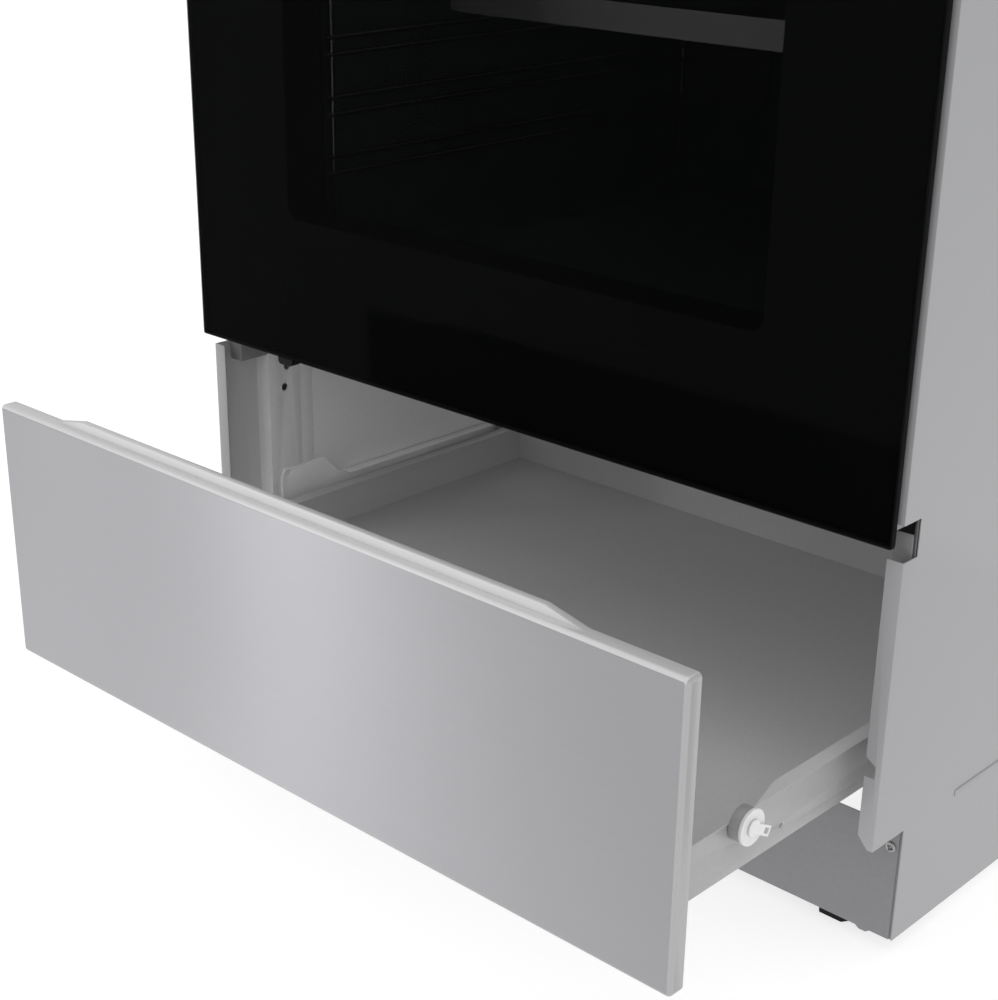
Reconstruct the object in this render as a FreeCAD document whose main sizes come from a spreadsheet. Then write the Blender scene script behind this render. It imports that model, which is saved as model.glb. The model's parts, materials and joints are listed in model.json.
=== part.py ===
"""Freestanding gas range with an oven and a storage drawer, standing on levelling feet.

Units are millimetres. +X is to the right, +Y to the back, +Z up, and the floor is z = 0.
The drawer is drawn part of the way out, and the origin is the middle of the floor area.
"""
import FreeCAD, Part
import math
import os
import re

import Sketcher

doc = FreeCAD.newDocument("gas_range")

# ---------------------------------------------------------------- driving sizes
SIZES = {
    # the whole appliance
    "body_width": 600, "worktop_height": 850, "body_depth": 600, "inlet_reach": 22,
    "sheet": 1, "frame_sheet": 1.5, "touch_gap": 0.3,
    # feet, plinth and toe recess
    "foot_height": 10, "foot_radius": 17, "foot_inset": 50, "foot_back": 23, "rear_foot_inset": 30, "stem_radius": 5, "stem_rise": 22, "rear_shelf": 50,
    "toe_depth": 47, "toe_height": 80, "plinth_inset": 2.5,
    "catch_far": 28, "catch_near": 15, "catch_drop": 2,
    # side panels
    "side_flange": 11, "side_front": 8.5, "cover_front": 11.6,
    "notch_low": 276, "notch_high": 299, "notch_depth": 26.3, "bracket_drop": 14, "bracket_rise": 12.7,
    "roller_notch_low": 138, "roller_notch_height": 13, "roller_notch_depth": 7,
    # posts and bay liners
    "post_front": 50, "post_depth": 32, "post_web": 14, "liner_front": 94, "liner_short": 35,
    # drawer
    "drawer_open": 178.4, "drawer_side_gap": 2, "drawer_low": 84.4, "drawer_front_height": 188,
    "drawer_front_thick": 11.4, "lip_rise": 6, "lip_left": 239, "lip_right": 226, "lip_slope": 28,
    "lip_thick": 5, "tray_gap": 28.5, "tray_low": 110.6, "tray_side": 34.4, "tray_depth": 492,
    "tray_hem": 10, "hem_start": 92, "hem_slope": 34, "strap_rise": 60, "side_hole_height": 121,
    # drawer rollers and runners
    "front_roller_radius": 11.2, "front_roller_back": 90.4, "front_roller_height": 143,
    "rear_roller_radius": 8, "rear_roller_back": 486, "roller_width": 9.5, "pin_radius": 3,
    "pin_head": 5, "tab_reach": 17, "tab_half": 3.2, "tab_turn": 29,
    "runner_front": 59, "runner_length": 500, "runner_flange": 10, "upstand_top": 165.8,
    # door
    "door_low": 286.8, "glass_thick": 4, "print_thick": 0.4, "door_frame_rear": 38,
    "door_frame_low": 294, "door_frame_inset": 16, "window_half": 201, "window_low": 101.5,
    "window_margin": 82, "window_radius": 10, "inner_glass_edge": 14,
    "pivot_back": 7.5, "pivot_height": 289.6, "eye_radius": 2.9, "door_pin_radius": 2,
    "running_gap": 0.05, "arm_thick": 5, "arm_inset": 33, "lug_thick": 3,
    "handle_drop": 30, "handle_reach": 45, "handle_radius": 11, "handle_inset": 42,
    "handle_post_radius": 7, "handle_post_inset": 30,
    "stop_left": 219.5, "stop_wide": 15, "stop_thick": 8, "stop_drop": 7.6,
    # control panel
    "panel_height": 90, "panel_gap": 4, "panel_depth": 38, "knob_pitch": 84, "knob_radius": 20,
    "knob_length": 24, "knob_gap": 6, "spindle_radius": 4,
    "manifold_back": 62, "manifold_radius": 9, "tap_radius": 11,
    "button_radius": 8, "button_proud": 6, "inlet_drop": 62, "inlet_radius": 10.5,
    # oven
    "front_plate": 48.5, "cavity_wall_gap": 65, "cavity_depth": 450, "cavity_top_gap": 128,
    "cavity_low": 300, "oven_floor_height": 345, "insulation_thick": 28, "seal_width": 10,
    "seal_edge": 8, "shelf_pitch": 42, "shelf_levels": 6, "wire_radius": 2.5, "rack_gap": 6,
    "rail_rise": 61.4, "rail_pair": 12, "tray_front": 153, "bake_edge": 19, "bake_rim": 12, "bake_low": 517, "bake_high": 536, "bake_corner": 45,
    "bake_depth": 340, "oven_burner_radius": 9,
    # cooktop
    "top_skirt": 28, "top_rim": 14, "deck_drop": 8, "support_edge": 34, "support_middle": 5,
    "support_front": 48, "support_rear": 78, "support_bar": 9, "support_tall": 14,
    "support_height": 32, "finger_gap": 26, "vent_length": 420,
    # roundings
    "edge_round": 3.2, "glass_corner": 2, "stop_round": 3, "top_round": 6, "bake_corner_inside": 44,
}

# ---------------------------------------------------------------- places worked out from them
PLACES = {
    "half": "body_width / 2",
    "inner": "half - sheet",
    "front": "(drawer_open - body_depth - inlet_reach) / 2",
    "back": "front + body_depth",
    "base": "foot_height",
    "toe_top": "base + toe_height",
    "deck_low": "worktop_height - top_skirt",
    "body_top": "deck_low",
    "post_face": "inner - post_web",
    "post_rear": "post_front + post_depth",
    "liner_rear": "body_depth - liner_short",
    "front_half": "half - drawer_side_gap",
    "drawer_face": "front - drawer_open",
    "drawer_back": "drawer_face + drawer_front_thick",
    "drawer_top": "drawer_low + drawer_front_height",
    "tray_half": "half - tray_gap",
    "tray_rear": "drawer_back + tray_depth",
    "tray_top": "tray_low + tray_side",
    "runner_web": "post_face - frame_sheet",
    "roller_face": "tray_half + 0.5",
    "roller_end": "roller_face + roller_width",
    "track_low": "front_roller_height - front_roller_radius - touch_gap",
    "rear_roller_height": "track_low + rear_roller_radius + touch_gap",
    "track_high": "rear_roller_height + rear_roller_radius + touch_gap",
    "panel_low": "body_top - panel_height",
    "door_high": "panel_low - panel_gap",
    "door_half": "half - drawer_side_gap",
    "print_rear": "glass_thick + print_thick",
    "frame_half": "half - door_frame_inset",
    "frame_high": "door_high - 6",
    "window_bottom": "door_low + window_low",
    "window_top": "door_high - window_margin",
    "pane_half": "window_half + inner_glass_edge",
    "pane_rear": "door_frame_rear + glass_thick",
    "pivot_y": "front + pivot_back",
    "arm_out": "half - arm_inset",
    "arm_in": "arm_out - arm_thick",
    "handle_height": "door_high - handle_drop",
    "handle_half": "half - handle_inset",
    "knob_height": "panel_low + panel_height / 2",
    "button_x": "2.5 * knob_pitch",
    "knob_rear": "front - knob_gap",
    "tap_front": "front + 30",
    "tap_rear": "front + manifold_back",
    "mouth_half": "half - cavity_wall_gap",
    "bake_half": "mouth_half - bake_edge",
    "cavity_half": "mouth_half + sheet",
    "plate_rear": "front_plate + frame_sheet",
    "cavity_rear": "plate_rear + cavity_depth",
    "cavity_high": "body_top - cavity_top_gap",
    "roof_top": "cavity_low - 11",
    "roof_low": "roof_top - sheet",
    "deck_top": "worktop_height - deck_drop",
    "support_out": "half - support_edge",
    "burner_x": "(support_out + support_middle) / 2",
    "support_mid": "(support_front + body_depth - support_rear) / 2",
    "front_burner": "(support_front + support_mid) / 2",
    "rear_burner": "(support_mid + body_depth - support_rear) / 2",
    "support_top": "deck_top + support_height",
    "inlet_height": "body_top - inlet_drop",
    "inlet_x": "half - 60",
}

WORD = re.compile(r"[a-z_][a-z0-9_]*")


def tied(text):
    """Turn plain size and place words into references to the two sheets."""
    def cell(match):
        word = match.group(0)
        if word in SIZES:
            return "Sizes." + word
        if word in PLACES:
            return "Places." + word
        return word
    return WORD.sub(cell, text)


def fill(sheet_name, rows):
    """Write one named value to each row of a sheet."""
    sheet = doc.addObject("Spreadsheet::Sheet", sheet_name)
    for row, (word, text) in enumerate(rows, start=1):
        sheet.set("A%d" % row, word)
        sheet.set("B%d" % row, text)
        sheet.setAlias("B%d" % row, word)
    return sheet


sizes = fill("Sizes", [(word, str(value)) for word, value in SIZES.items()])
places = fill("Places", [(word, "=" + tied(text)) for word, text in PLACES.items()])
doc.recompute()


def amount(word):
    """The present value of one size or place."""
    return float((sizes if word in SIZES else places).get(word))


# ---------------------------------------------------------------- small building helpers
AXES = {"x": (FreeCAD.Vector(0, 1, 0), 90), "y": (FreeCAD.Vector(1, 0, 0), -90), "z": (FreeCAD.Vector(0, 0, 1), 0)}
NODES = []


def put(thing, x="0", y="0", z="0"):
    """Tie an object's base point to three expressions."""
    for side, text in (("x", x), ("y", y), ("z", z)):
        thing.setExpression("Placement.Base." + side, tied(text))
    return thing


def box(x, y, z, name="box"):
    """A box between a low and a high expression on each axis."""
    solid = doc.addObject("Part::Box", name)
    for prop, (low, high) in (("Length", x), ("Width", y), ("Height", z)):
        solid.setExpression(prop, tied("(%s) - (%s)" % (high, low)))
    return put(solid, x[0], y[0], z[0])


def rod(axis, radius, low, high, across, name="rod"):
    """A cylinder along an axis from low to high; across gives its other two coordinates in order."""
    solid = doc.addObject("Part::Cylinder", name)
    solid.setExpression("Radius", tied(radius))
    solid.setExpression("Height", tied("(%s) - (%s)" % (high, low)))
    turn = FreeCAD.Rotation(*AXES[axis])
    solid.Placement = FreeCAD.Placement(FreeCAD.Vector(), turn)
    spot = list(across)
    spot.insert("xyz".index(axis), low)
    return put(solid, *spot)


def outline(body, plane, corners):
    """A sketch on one of the body's own planes, with each corner tied to two expressions."""
    sketch = body.newObject("Sketcher::SketchObject", "outline")
    face = [item for item in body.Origin.OriginFeatures if item.Role == plane + "_Plane"][0]
    sketch.AttachmentSupport = [(face, "")]
    sketch.MapMode = "FlatFace"
    count = len(corners)
    start = [FreeCAD.Vector(200 + 100 * math.cos(math.tau * i / count), 100 * math.sin(math.tau * i / count), 0)
             for i in range(count)]
    for i in range(count):
        sketch.addGeometry(Part.LineSegment(start[i], start[(i + 1) % count]), False)
    for i in range(count):
        sketch.addConstraint(Sketcher.Constraint("Coincident", i, 2, (i + 1) % count, 1))
    for i, corner in enumerate(corners):
        for kind, begin, text in (("DistanceX", start[i].x, corner[0]), ("DistanceY", start[i].y, corner[1])):
            number = sketch.addConstraint(Sketcher.Constraint(kind, i, 1, begin))
            sketch.setExpression("Constraints[%d]" % number, tied(text))
    return sketch


def pad(plane, corners, low, high, name="plate"):
    """A flat plate: a closed outline on a plane, thick from low to high along the third axis."""
    body = doc.addObject("PartDesign::Body", name)
    sketch = outline(body, plane, corners)
    start = "-(%s)" % high if plane == "XZ" else low
    sketch.setExpression("AttachmentOffset.Base.z", tied(start))
    feature = body.newObject("PartDesign::Pad", "thickness")
    feature.Profile = sketch
    feature.setExpression("Length", tied("(%s) - (%s)" % (high, low)))
    return body


def turned(corners, axis, x, y, z, name="turned"):
    """A turned piece: radius and height pairs, spun about an axis and put at a point."""
    body = doc.addObject("PartDesign::Body", name)
    feature_sketch = outline(body, "XZ", corners)
    feature = body.newObject("PartDesign::Revolution", "spin")
    feature.Profile = feature_sketch
    feature.ReferenceAxis = (feature_sketch, ["V_Axis"])
    feature.Angle = 360
    body.Placement = FreeCAD.Placement(FreeCAD.Vector(), FreeCAD.Rotation(*AXES[axis]))
    return put(body, x, y, z)


def fuse(pieces, name="fused"):
    """One solid from pieces that touch or overlap."""
    whole = doc.addObject("Part::MultiFuse", name)
    whole.Shapes = pieces
    return whole


def cut(base, tools, name="cut"):
    """A solid with one or more tools taken away."""
    result = doc.addObject("Part::Cut", name)
    result.Base = base
    result.Tool = tools[0] if len(tools) == 1 else group(tools)
    return result


def group(pieces, name="group"):
    """Separate solids kept together."""
    several = doc.addObject("Part::Compound", name)
    several.Links = pieces
    return several


def mirrored(piece, name="mirrored"):
    """The same piece on the other side of the range."""
    twin = doc.addObject("Part::Mirroring", name)
    twin.Source = piece
    twin.Normal = (1, 0, 0)
    twin.Base = (0, 0, 0)
    return twin


def rounded(base, radius_word, along, keep=None, name="rounded"):
    """Round the straight edges that run along one axis, all of them or those that keep accepts."""
    doc.recompute()
    picked = []
    for number, edge in enumerate(base.Shape.Edges, start=1):
        if edge.Curve.TypeId != "Part::GeomLine":
            continue
        way = edge.tangentAt(edge.FirstParameter)
        if abs(getattr(way, along)) < 0.999:
            continue
        if keep is None or keep(edge.CenterOfMass):
            picked.append((number, amount(radius_word), amount(radius_word)))
    result = doc.addObject("Part::Fillet", name)
    result.Base = base
    result.Edges = picked
    return result


def node(label, piece):
    """Give a finished sub-part its name."""
    piece.Label = label
    NODES.append(piece)
    return piece


def fy(text):
    """A place measured back from the door's front face."""
    return "front + " + text


# ---------------------------------------------------------------- casing
def side_panel():
    """One folded sheet: web, front flanges above and below the hinge notch, rear and bottom flanges."""
    web = pad("YZ", [
        (fy("side_front"), "notch_high"), (fy("side_front"), "body_top"), ("back", "body_top"),
        ("back", "base"), (fy("toe_depth"), "base"), (fy("toe_depth"), "toe_top"),
        (fy("cover_front"), "toe_top"), (fy("cover_front"), "notch_low"),
        (fy("notch_depth"), "notch_low"), (fy("notch_depth"), "notch_high")], "inner", "half")
    reach = "half - side_flange"
    upper = box((reach, "half"), (fy("side_front"), fy("side_front + sheet")), ("notch_high", "body_top"))
    lower = pad("XZ", [
        (reach, "toe_top + 8"), ("half - 4", "toe_top"), ("half", "toe_top"), ("half", "notch_low"),
        (reach, "notch_low"), (reach, "roller_notch_low + roller_notch_height"),
        (reach + " + roller_notch_depth", "roller_notch_low + roller_notch_height - 5"),
        (reach + " + roller_notch_depth", "roller_notch_low"), (reach, "roller_notch_low")],
        fy("cover_front"), fy("cover_front + sheet"))
    rear = box((reach, "half"), ("back - sheet - sheet", "back - sheet"), ("base", "body_top"))
    bottom = box((reach, "half"), (fy("toe_depth + 60"), "back - sheet"), ("base", "base + sheet"))
    trimmed = cut(web, [box(("inner - 1", "half + 1"), ("back - sheet", "back + 1"), ("0", "worktop_height"))])
    right = node("side_panel_right", fuse([trimmed, upper, lower, rear, bottom]))
    node("side_panel_left", mirrored(right))


def front_posts():
    """A folded channel inside each side panel that carries the oven and the drawer runner."""
    web = box(("post_face", "post_face + sheet"), (fy("post_front"), fy("post_rear")), ("toe_top", "body_top"))
    flanks = [box(("post_face", "inner"), (start, start + " + sheet"), ("toe_top", "body_top"))
              for start in (fy("post_front"), fy("post_rear - sheet"))]
    holes = [rod("x", "3", "post_face - 1", "post_face + 3", (fy(along), height))
             for along, height in (("69", "notch_low - 27"), ("66", "notch_low - 43.5"))]
    right = cut(fuse([web] + flanks), holes)
    node("front_posts", group([right, mirrored(right)]))


def bay_liners():
    """The inner wall on each side of the drawer bay."""
    wall = box(("post_face", "post_face + sheet"), (fy("liner_front"), fy("liner_rear")), ("toe_top", "roof_top"))
    ends = [box(("post_face", "inner"), (start, start + " + sheet"), ("toe_top", "roof_top"))
            for start in (fy("liner_front"), fy("liner_rear - sheet"))]
    right = fuse([wall] + ends)
    node("bay_liners", group([right, mirrored(right)]))


def plinth():
    """The toe board: a folded sheet with a foot shelf, side tabs and a small tab below its edge."""
    reach = "half - plinth_inset"
    face = box(("-(%s)" % reach, reach), (fy("toe_depth"), fy("toe_depth + sheet")), ("base", "toe_top"))
    shelf = box(("-(%s)" % reach, reach), (fy("toe_depth"), fy("toe_depth + 45")),
                ("base", "base + frame_sheet"))
    tabs = [box((low, high), (fy("toe_depth + sheet"), fy("toe_depth + 30")), ("base", "toe_top"))
            for low, high in (("half - plinth_inset - sheet", "inner"), ("-inner", "-half + plinth_inset + sheet"))]
    catch = pad("XZ", [
        ("half - catch_far", "base + 1"), ("half - catch_far + 4", "base - catch_drop"),
        ("half - catch_near - 4", "base - catch_drop"), ("half - catch_near", "base + 1")],
        fy("toe_depth"), fy("toe_depth + sheet"))
    hole = [rod("z", "stem_radius", "base - 1", "base + 3", (side + "(half - foot_inset)", fy("toe_depth + foot_back")))
            for side in ("", "-")]
    node("plinth", cut(fuse([face, shelf, catch] + tabs), hole))


def back_panel():
    """The rear sheet, with a foot shelf, cooling louvres and a hole for the gas inlet."""
    wall = box(("-half + sheet", "half - sheet"), ("back - sheet", "back"), ("base", "body_top"))
    shelf = box(("-half + side_flange", "half - side_flange"), ("back - rear_shelf", "back - sheet"),
                ("base", "base + frame_sheet"))
    rows = [box(("-150", "150"), ("back - 2", "back + 1"), ("body_top - %d" % low, "body_top - %d + 5" % low))
            for low in range(40, 130, 14)]
    inlet = rod("y", "inlet_radius + 2", "back - 3", "back + 1", ("inlet_x", "inlet_height"))
    gland = rod("y", "9", "back - 3", "back + 1", ("-half + 70", "inlet_height"))
    stems = [rod("z", "stem_radius", "base - 1", "base + 3", (side + "(half - foot_inset)", "back - rear_foot_inset"))
             for side in ("", "-")]
    node("back_panel", cut(fuse([wall, shelf]), rows + [inlet, gland] + stems))


def levelling_feet():
    """Four screw feet: a six-sided pad on the floor and a stem through the shelf above it."""
    feet = []
    for side in ("", "-"):
        for along in (fy("toe_depth + foot_back"), "back - rear_foot_inset"):
            across = side + "(half - foot_inset)"
            corners = [("%s + %.5f * foot_radius" % (across, math.cos(math.tau * i / 6)),
                        "%s + %.5f * foot_radius" % (along, math.sin(math.tau * i / 6))) for i in range(6)]
            hexagon = pad("XY", corners, "0", "foot_height - 0.3")
            stem = rod("z", "stem_radius - 0.2", "0", "foot_height + stem_rise", (across, along))
            feet.append(fuse([hexagon, stem]))
    node("levelling_feet", group(feet))


def corner_bracket():
    """A folded bracket behind each hinge notch: a front wall with a web back to the post."""
    height = ("notch_low - bracket_drop", "notch_low + bracket_rise")
    wall = box(("post_face", "inner - 1.7"), (fy("notch_depth - 2"), fy("notch_depth - 1")), height)
    web = box(("post_face", "post_face + sheet"), (fy("notch_depth - 2"), fy("post_front")),
              (height[0], "roof_low - touch_gap"))
    right = fuse([wall, web])
    node("corner_bracket", group([right, mirrored(right)]))


# ---------------------------------------------------------------- drawer
def drawer_front():
    """A hollow folded front, with a raised finger lip along the back of its top edge."""
    slab = box(("-front_half", "front_half"), ("drawer_face", "drawer_back"), ("drawer_low", "drawer_top"))
    lip = pad("XZ", [
        ("-lip_left", "drawer_top - 4"), ("lip_right", "drawer_top - 4"), ("lip_right", "drawer_top"),
        ("lip_right - lip_slope", "drawer_top + lip_rise"), ("lip_slope - lip_left", "drawer_top + lip_rise"),
        ("-lip_left", "drawer_top")], "drawer_back - lip_thick", "drawer_back")
    soft = rounded(slab, "edge_round", "x", lambda spot: spot.y < amount("drawer_face") + 1)
    soft = rounded(soft, "edge_round", "z", lambda spot: spot.y < amount("drawer_face") + 1)
    inside = box(("-front_half + 5", "front_half - 5"), ("drawer_face + sheet", "drawer_back - sheet"),
                 ("drawer_low + 5", "drawer_top - 5"))
    node("drawer_front", cut(fuse([soft, lip]), [inside]))


def drawer_tray():
    """The sheet tray behind the front: floor, sides with a turned-in hem, back and front strap."""
    floor = box(("-tray_half", "tray_half"), ("drawer_back", "tray_rear"), ("tray_low", "tray_low + sheet"))
    wall = box(("tray_half - sheet", "tray_half"), ("drawer_back", "tray_rear"), ("tray_low", "tray_top"))
    hem = pad("XY", [
        ("tray_half", "drawer_back + hem_start"), ("tray_half", "tray_rear"), ("tray_half - tray_hem", "tray_rear"),
        ("tray_half - tray_hem", "drawer_back + hem_start + hem_slope")], "tray_top - sheet", "tray_top")
    side = fuse([wall, hem])
    rear = box(("-tray_half", "tray_half"), ("tray_rear - sheet", "tray_rear"), ("tray_low", "tray_top"))
    strap = box(("-tray_half", "tray_half"), ("drawer_back", "drawer_back + sheet"), ("tray_low", "tray_top + strap_rise"))
    holes = [rod("x", "2", "tray_half - 3", "tray_half + 1", ("drawer_face + 134", "side_hole_height"))]
    node("drawer_tray", cut(fuse([floor, rear, strap, side, mirrored(side)]), holes))


def roller_spots():
    """Name, distance behind the drawer's face, height and radius of each kind of roller."""
    return (("front", "drawer_face + front_roller_back", "front_roller_height", "front_roller_radius"),
            ("rear", "drawer_face + rear_roller_back", "rear_roller_height", "rear_roller_radius"))


def pull_tab(along, height):
    """The windowed tab that turns a front pin out of its hole, sloping down to the rear."""
    turn = math.radians(amount("tab_turn"))

    def spot(reach, across):
        return ("%s + %.4f" % (along, reach * math.cos(turn) + across * math.sin(turn)),
                "%s + %.4f" % (height, across * math.cos(turn) - reach * math.sin(turn)))

    half, end = amount("tab_half"), amount("tab_reach")
    blade = pad("YZ", [spot(0, half), spot(end, half), spot(end, -half), spot(0, -half)],
                "roller_end + 0.2", "roller_end + 1.2")
    window = pad("YZ", [spot(end - 6, half - 1.4), spot(end - 1.5, half - 1.4),
                        spot(end - 1.5, 1.4 - half), spot(end - 6, 1.4 - half)], "roller_end", "roller_end + 2")
    return cut(blade, [window])


def rollers():
    """Four nylon rollers on snap pins; the front pins have a windowed pull tab."""
    pins = []
    for end, along, height, radius in roller_spots():
        wheel = cut(rod("x", radius, "roller_face", "roller_end", (along, height)),
                    [rod("x", "pin_radius + running_gap", "roller_face - 1", "roller_end + 1", (along, height))])
        right = node("roller_%s_right" % end, wheel)
        node("roller_%s_left" % end, mirrored(right))
        parts = [rod("x", "pin_radius", "tray_half", "roller_end + 0.2", (along, height)),
                 rod("x", "pin_head", "roller_end + 0.2", "roller_end + 1.2", (along, height))]
        if end == "front":
            parts.append(pull_tab(along, height))
        pin = fuse(parts)
        pins += [pin, mirrored(pin)]
    node("roller_pins", group(pins))


def runners():
    """The galvanised track on each side: a web with a raised nose, a floor and a rear keeper."""
    last = fy("runner_front + runner_length")
    web = pad("YZ", [
        (fy("runner_front"), "track_low - frame_sheet"), (last, "track_low - frame_sheet"),
        (last, "track_high + sheet"), (fy("runner_front + 60"), "track_high + sheet"),
        (fy("runner_front + 44"), "upstand_top"), (fy("runner_front + 3"), "upstand_top"),
        (fy("runner_front"), "upstand_top - 6")], "runner_web", "post_face")
    floor = box(("post_face - runner_flange", "post_face"), (fy("runner_front"), last),
                ("track_low - frame_sheet", "track_low"))
    keeper = box(("post_face - runner_flange", "post_face"), (fy("runner_front + 66"), last),
                 ("track_high", "track_high + sheet"))
    hole = rod("x", "2.5", "runner_web - 1", "post_face + 1", (fy("runner_front + 7"), "upstand_top - 4.2"))
    right = node("runner_right", cut(fuse([web, floor, keeper]), [hole]))
    node("runner_left", mirrored(right))


# ---------------------------------------------------------------- door
def door_glass():
    """The outer pane, which covers the whole door."""
    pane = box(("-door_half", "door_half"), ("front", fy("glass_thick")), ("door_low", "door_high"))
    node("door_glass", rounded(pane, "glass_corner", "y"))


def window_hole(low, high):
    """The rounded opening that the print, the frame and the inner pane share."""
    hole = box(("-window_half", "window_half"), (fy(low), fy(high)), ("window_bottom", "window_top"))
    return rounded(hole, "window_radius", "y")


def door_print():
    """The fired black print behind the outer pane, left clear at the window."""
    film = box(("-door_half + 1", "door_half - 1"), (fy("glass_thick"), fy("print_rear")),
               ("door_low + 1", "door_high - 1"))
    node("door_print", cut(film, [window_hole("glass_thick - 1", "print_rear + 1")]))


def door_frame():
    """The steel tray of the door: four walls and a rear face with the window opening."""
    shell = box(("-frame_half", "frame_half"), (fy("print_rear"), fy("door_frame_rear")),
                ("door_frame_low", "frame_high"))
    hollow = box(("-frame_half + sheet", "frame_half - sheet"), (fy("print_rear - 1"), fy("door_frame_rear - sheet")),
                 ("door_frame_low + sheet", "frame_high - sheet"))
    node("door_frame", cut(shell, [hollow, window_hole("door_frame_rear - 3", "door_frame_rear + 1")]))


def inner_glass():
    """The heat pane on the oven side of the door."""
    edge = "inner_glass_edge"
    pane = box(("-pane_half", "pane_half"), (fy("door_frame_rear"), fy("pane_rear")),
               ("window_bottom - " + edge, "window_top + " + edge))
    node("door_inner_glass", pane)


def door_handle():
    """A round bar on two posts."""
    middle = fy("0") + " - handle_reach"
    bar = turned([
        ("0", "-handle_half"), ("handle_radius - 2", "-handle_half"), ("handle_radius", "2 - handle_half"),
        ("handle_radius", "handle_half - 2"), ("handle_radius - 2", "handle_half"), ("0", "handle_half")],
        "x", "0", middle, "handle_height")
    posts = [rod("y", "handle_post_radius", middle, "front", (side + "(handle_half - handle_post_inset)",
                                                               "handle_height")) for side in ("", "-")]
    node("door_handle", fuse([bar] + posts))


def door_hinges():
    """Fixed arms with an eye at the pivot, and the pins and lugs on the door that turn in them."""
    spot = ("pivot_y", "pivot_height")
    eye = rod("x", "eye_radius", "arm_in", "arm_out", spot)
    bar = box(("arm_in", "arm_out"), ("pivot_y", fy("front_plate")),
              ("pivot_height - eye_radius", "pivot_height + eye_radius"))
    bore = rod("x", "door_pin_radius + running_gap", "arm_in - 1", "arm_out + 1", spot)
    arm = cut(fuse([eye, bar]), [bore])
    node("hinge_arms", group([arm, mirrored(arm)]))
    pin = rod("x", "door_pin_radius", "arm_in - lug_thick - 1", "arm_out + lug_thick + 1", spot)
    pieces = [pin]
    for low in ("arm_in - lug_thick - touch_gap", "arm_out + touch_gap"):
        side = (low, low + " + lug_thick")
        pieces.append(rod("x", "eye_radius", side[0], side[1], spot))
        pieces.append(box(side, ("pivot_y - eye_radius", "pivot_y + eye_radius"), ("pivot_height", "door_frame_low")))
    lugs = fuse(pieces)
    node("hinge_pins", group([lugs, mirrored(lugs)]))


def door_stop():
    """The small rubber stop below the door frame."""
    block = box(("-stop_left", "stop_wide - stop_left"), (fy("print_rear + 1"), fy("print_rear + 1 + stop_thick")),
                ("door_low - stop_drop", "door_frame_low"))
    node("door_bottom_stop", rounded(block, "stop_round", "y", lambda spot: spot.z < amount("door_low")))


# ---------------------------------------------------------------- oven
def oven_front_plate():
    """The steel front behind the door, with the oven mouth."""
    plate = box(("-inner", "inner"), (fy("front_plate"), fy("plate_rear")), ("roof_low", "body_top"))
    mouth = box(("-mouth_half", "mouth_half"), (fy("front_plate - 1"), fy("plate_rear + 1")),
                ("oven_floor_height - 8", "cavity_high"))
    upper = box(("-inner + 20", "inner - 20"), (fy("front_plate - 1"), fy("plate_rear + 1")),
                ("panel_low + 15", "body_top - 15"))
    node("oven_front_plate", cut(plate, [mouth, upper]))


def door_seal():
    """The soft seal round the mouth, which the closed door leans on."""
    low = "oven_floor_height - 8 - seal_edge"
    high = "cavity_high + seal_edge"
    reach = "mouth_half + seal_edge"
    depth = (fy("door_frame_rear + touch_gap"), fy("front_plate"))
    ring = box(("-(%s) - seal_width" % reach, reach + " + seal_width"), depth,
               (low + " - seal_width", high + " + seal_width"))
    middle = box(("-(%s)" % reach, reach), (fy("door_frame_rear - 1"), fy("front_plate + 1")), (low, high))
    node("door_seal", cut(ring, [middle]))


def oven_cavity():
    """The enamelled box, open at the front, with ledges for its loose floor."""
    shell = box(("-cavity_half", "cavity_half"), (fy("plate_rear"), fy("cavity_rear")),
                ("cavity_low", "cavity_high + sheet"))
    hollow = box(("-mouth_half", "mouth_half"), (fy("plate_rear - 1"), fy("cavity_rear - sheet")),
                 ("cavity_low + sheet", "cavity_high"))
    ledges = [box(ends, (fy("plate_rear + 8"), fy("cavity_rear - sheet")),
                  ("oven_floor_height - sheet", "oven_floor_height"))
              for ends in (("mouth_half - 14", "mouth_half + sheet"), ("-mouth_half - sheet", "-mouth_half + 14"))]
    lamp = rod("y", "22", fy("cavity_rear - 3"), fy("cavity_rear + 1"), ("mouth_half - 60", "cavity_high - 60"))
    node("oven_cavity", fuse([cut(shell, [hollow, lamp])] + ledges))


def oven_floor():
    """The loose steel floor over the oven burner, with flame slots along both sides."""
    plate = box(("-mouth_half + 2", "mouth_half - 2"), (fy("plate_rear + 10"), fy("cavity_rear - 3")),
                ("oven_floor_height", "oven_floor_height + frame_sheet"))
    slots = []
    for side in ("", "-"):
        for step in range(6):
            low = "plate_rear + %d" % (50 + 60 * step)
            middle = side + "(mouth_half - 40)"
            slots.append(box((middle + " - 5", middle + " + 5"), (fy(low), fy(low + " + 40")),
                             ("oven_floor_height - 1", "oven_floor_height + 3")))
    node("oven_floor", cut(plate, slots))


def oven_burner():
    """A straight tube burner with two feet on the oven bottom."""
    height = "cavity_low + 24"
    tube = rod("y", "oven_burner_radius", fy("plate_rear + 40"), fy("cavity_rear - sheet"), ("0", height))
    feet = [box(("-8", "8"), (fy(low), fy(low + " + 3")), ("cavity_low + sheet", height))
            for low in ("plate_rear + 80", "cavity_rear - 90")]
    wings = box(("-70", "70"), (fy("plate_rear + 40"), fy("plate_rear + 56")), (height + " - 6", height + " + 6"))
    node("oven_burner", fuse([tube, wings] + feet))


def rail_height(level):
    """Middle of the lower rail at one shelf level."""
    return "oven_floor_height + rail_rise + %d * shelf_pitch" % level


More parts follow.
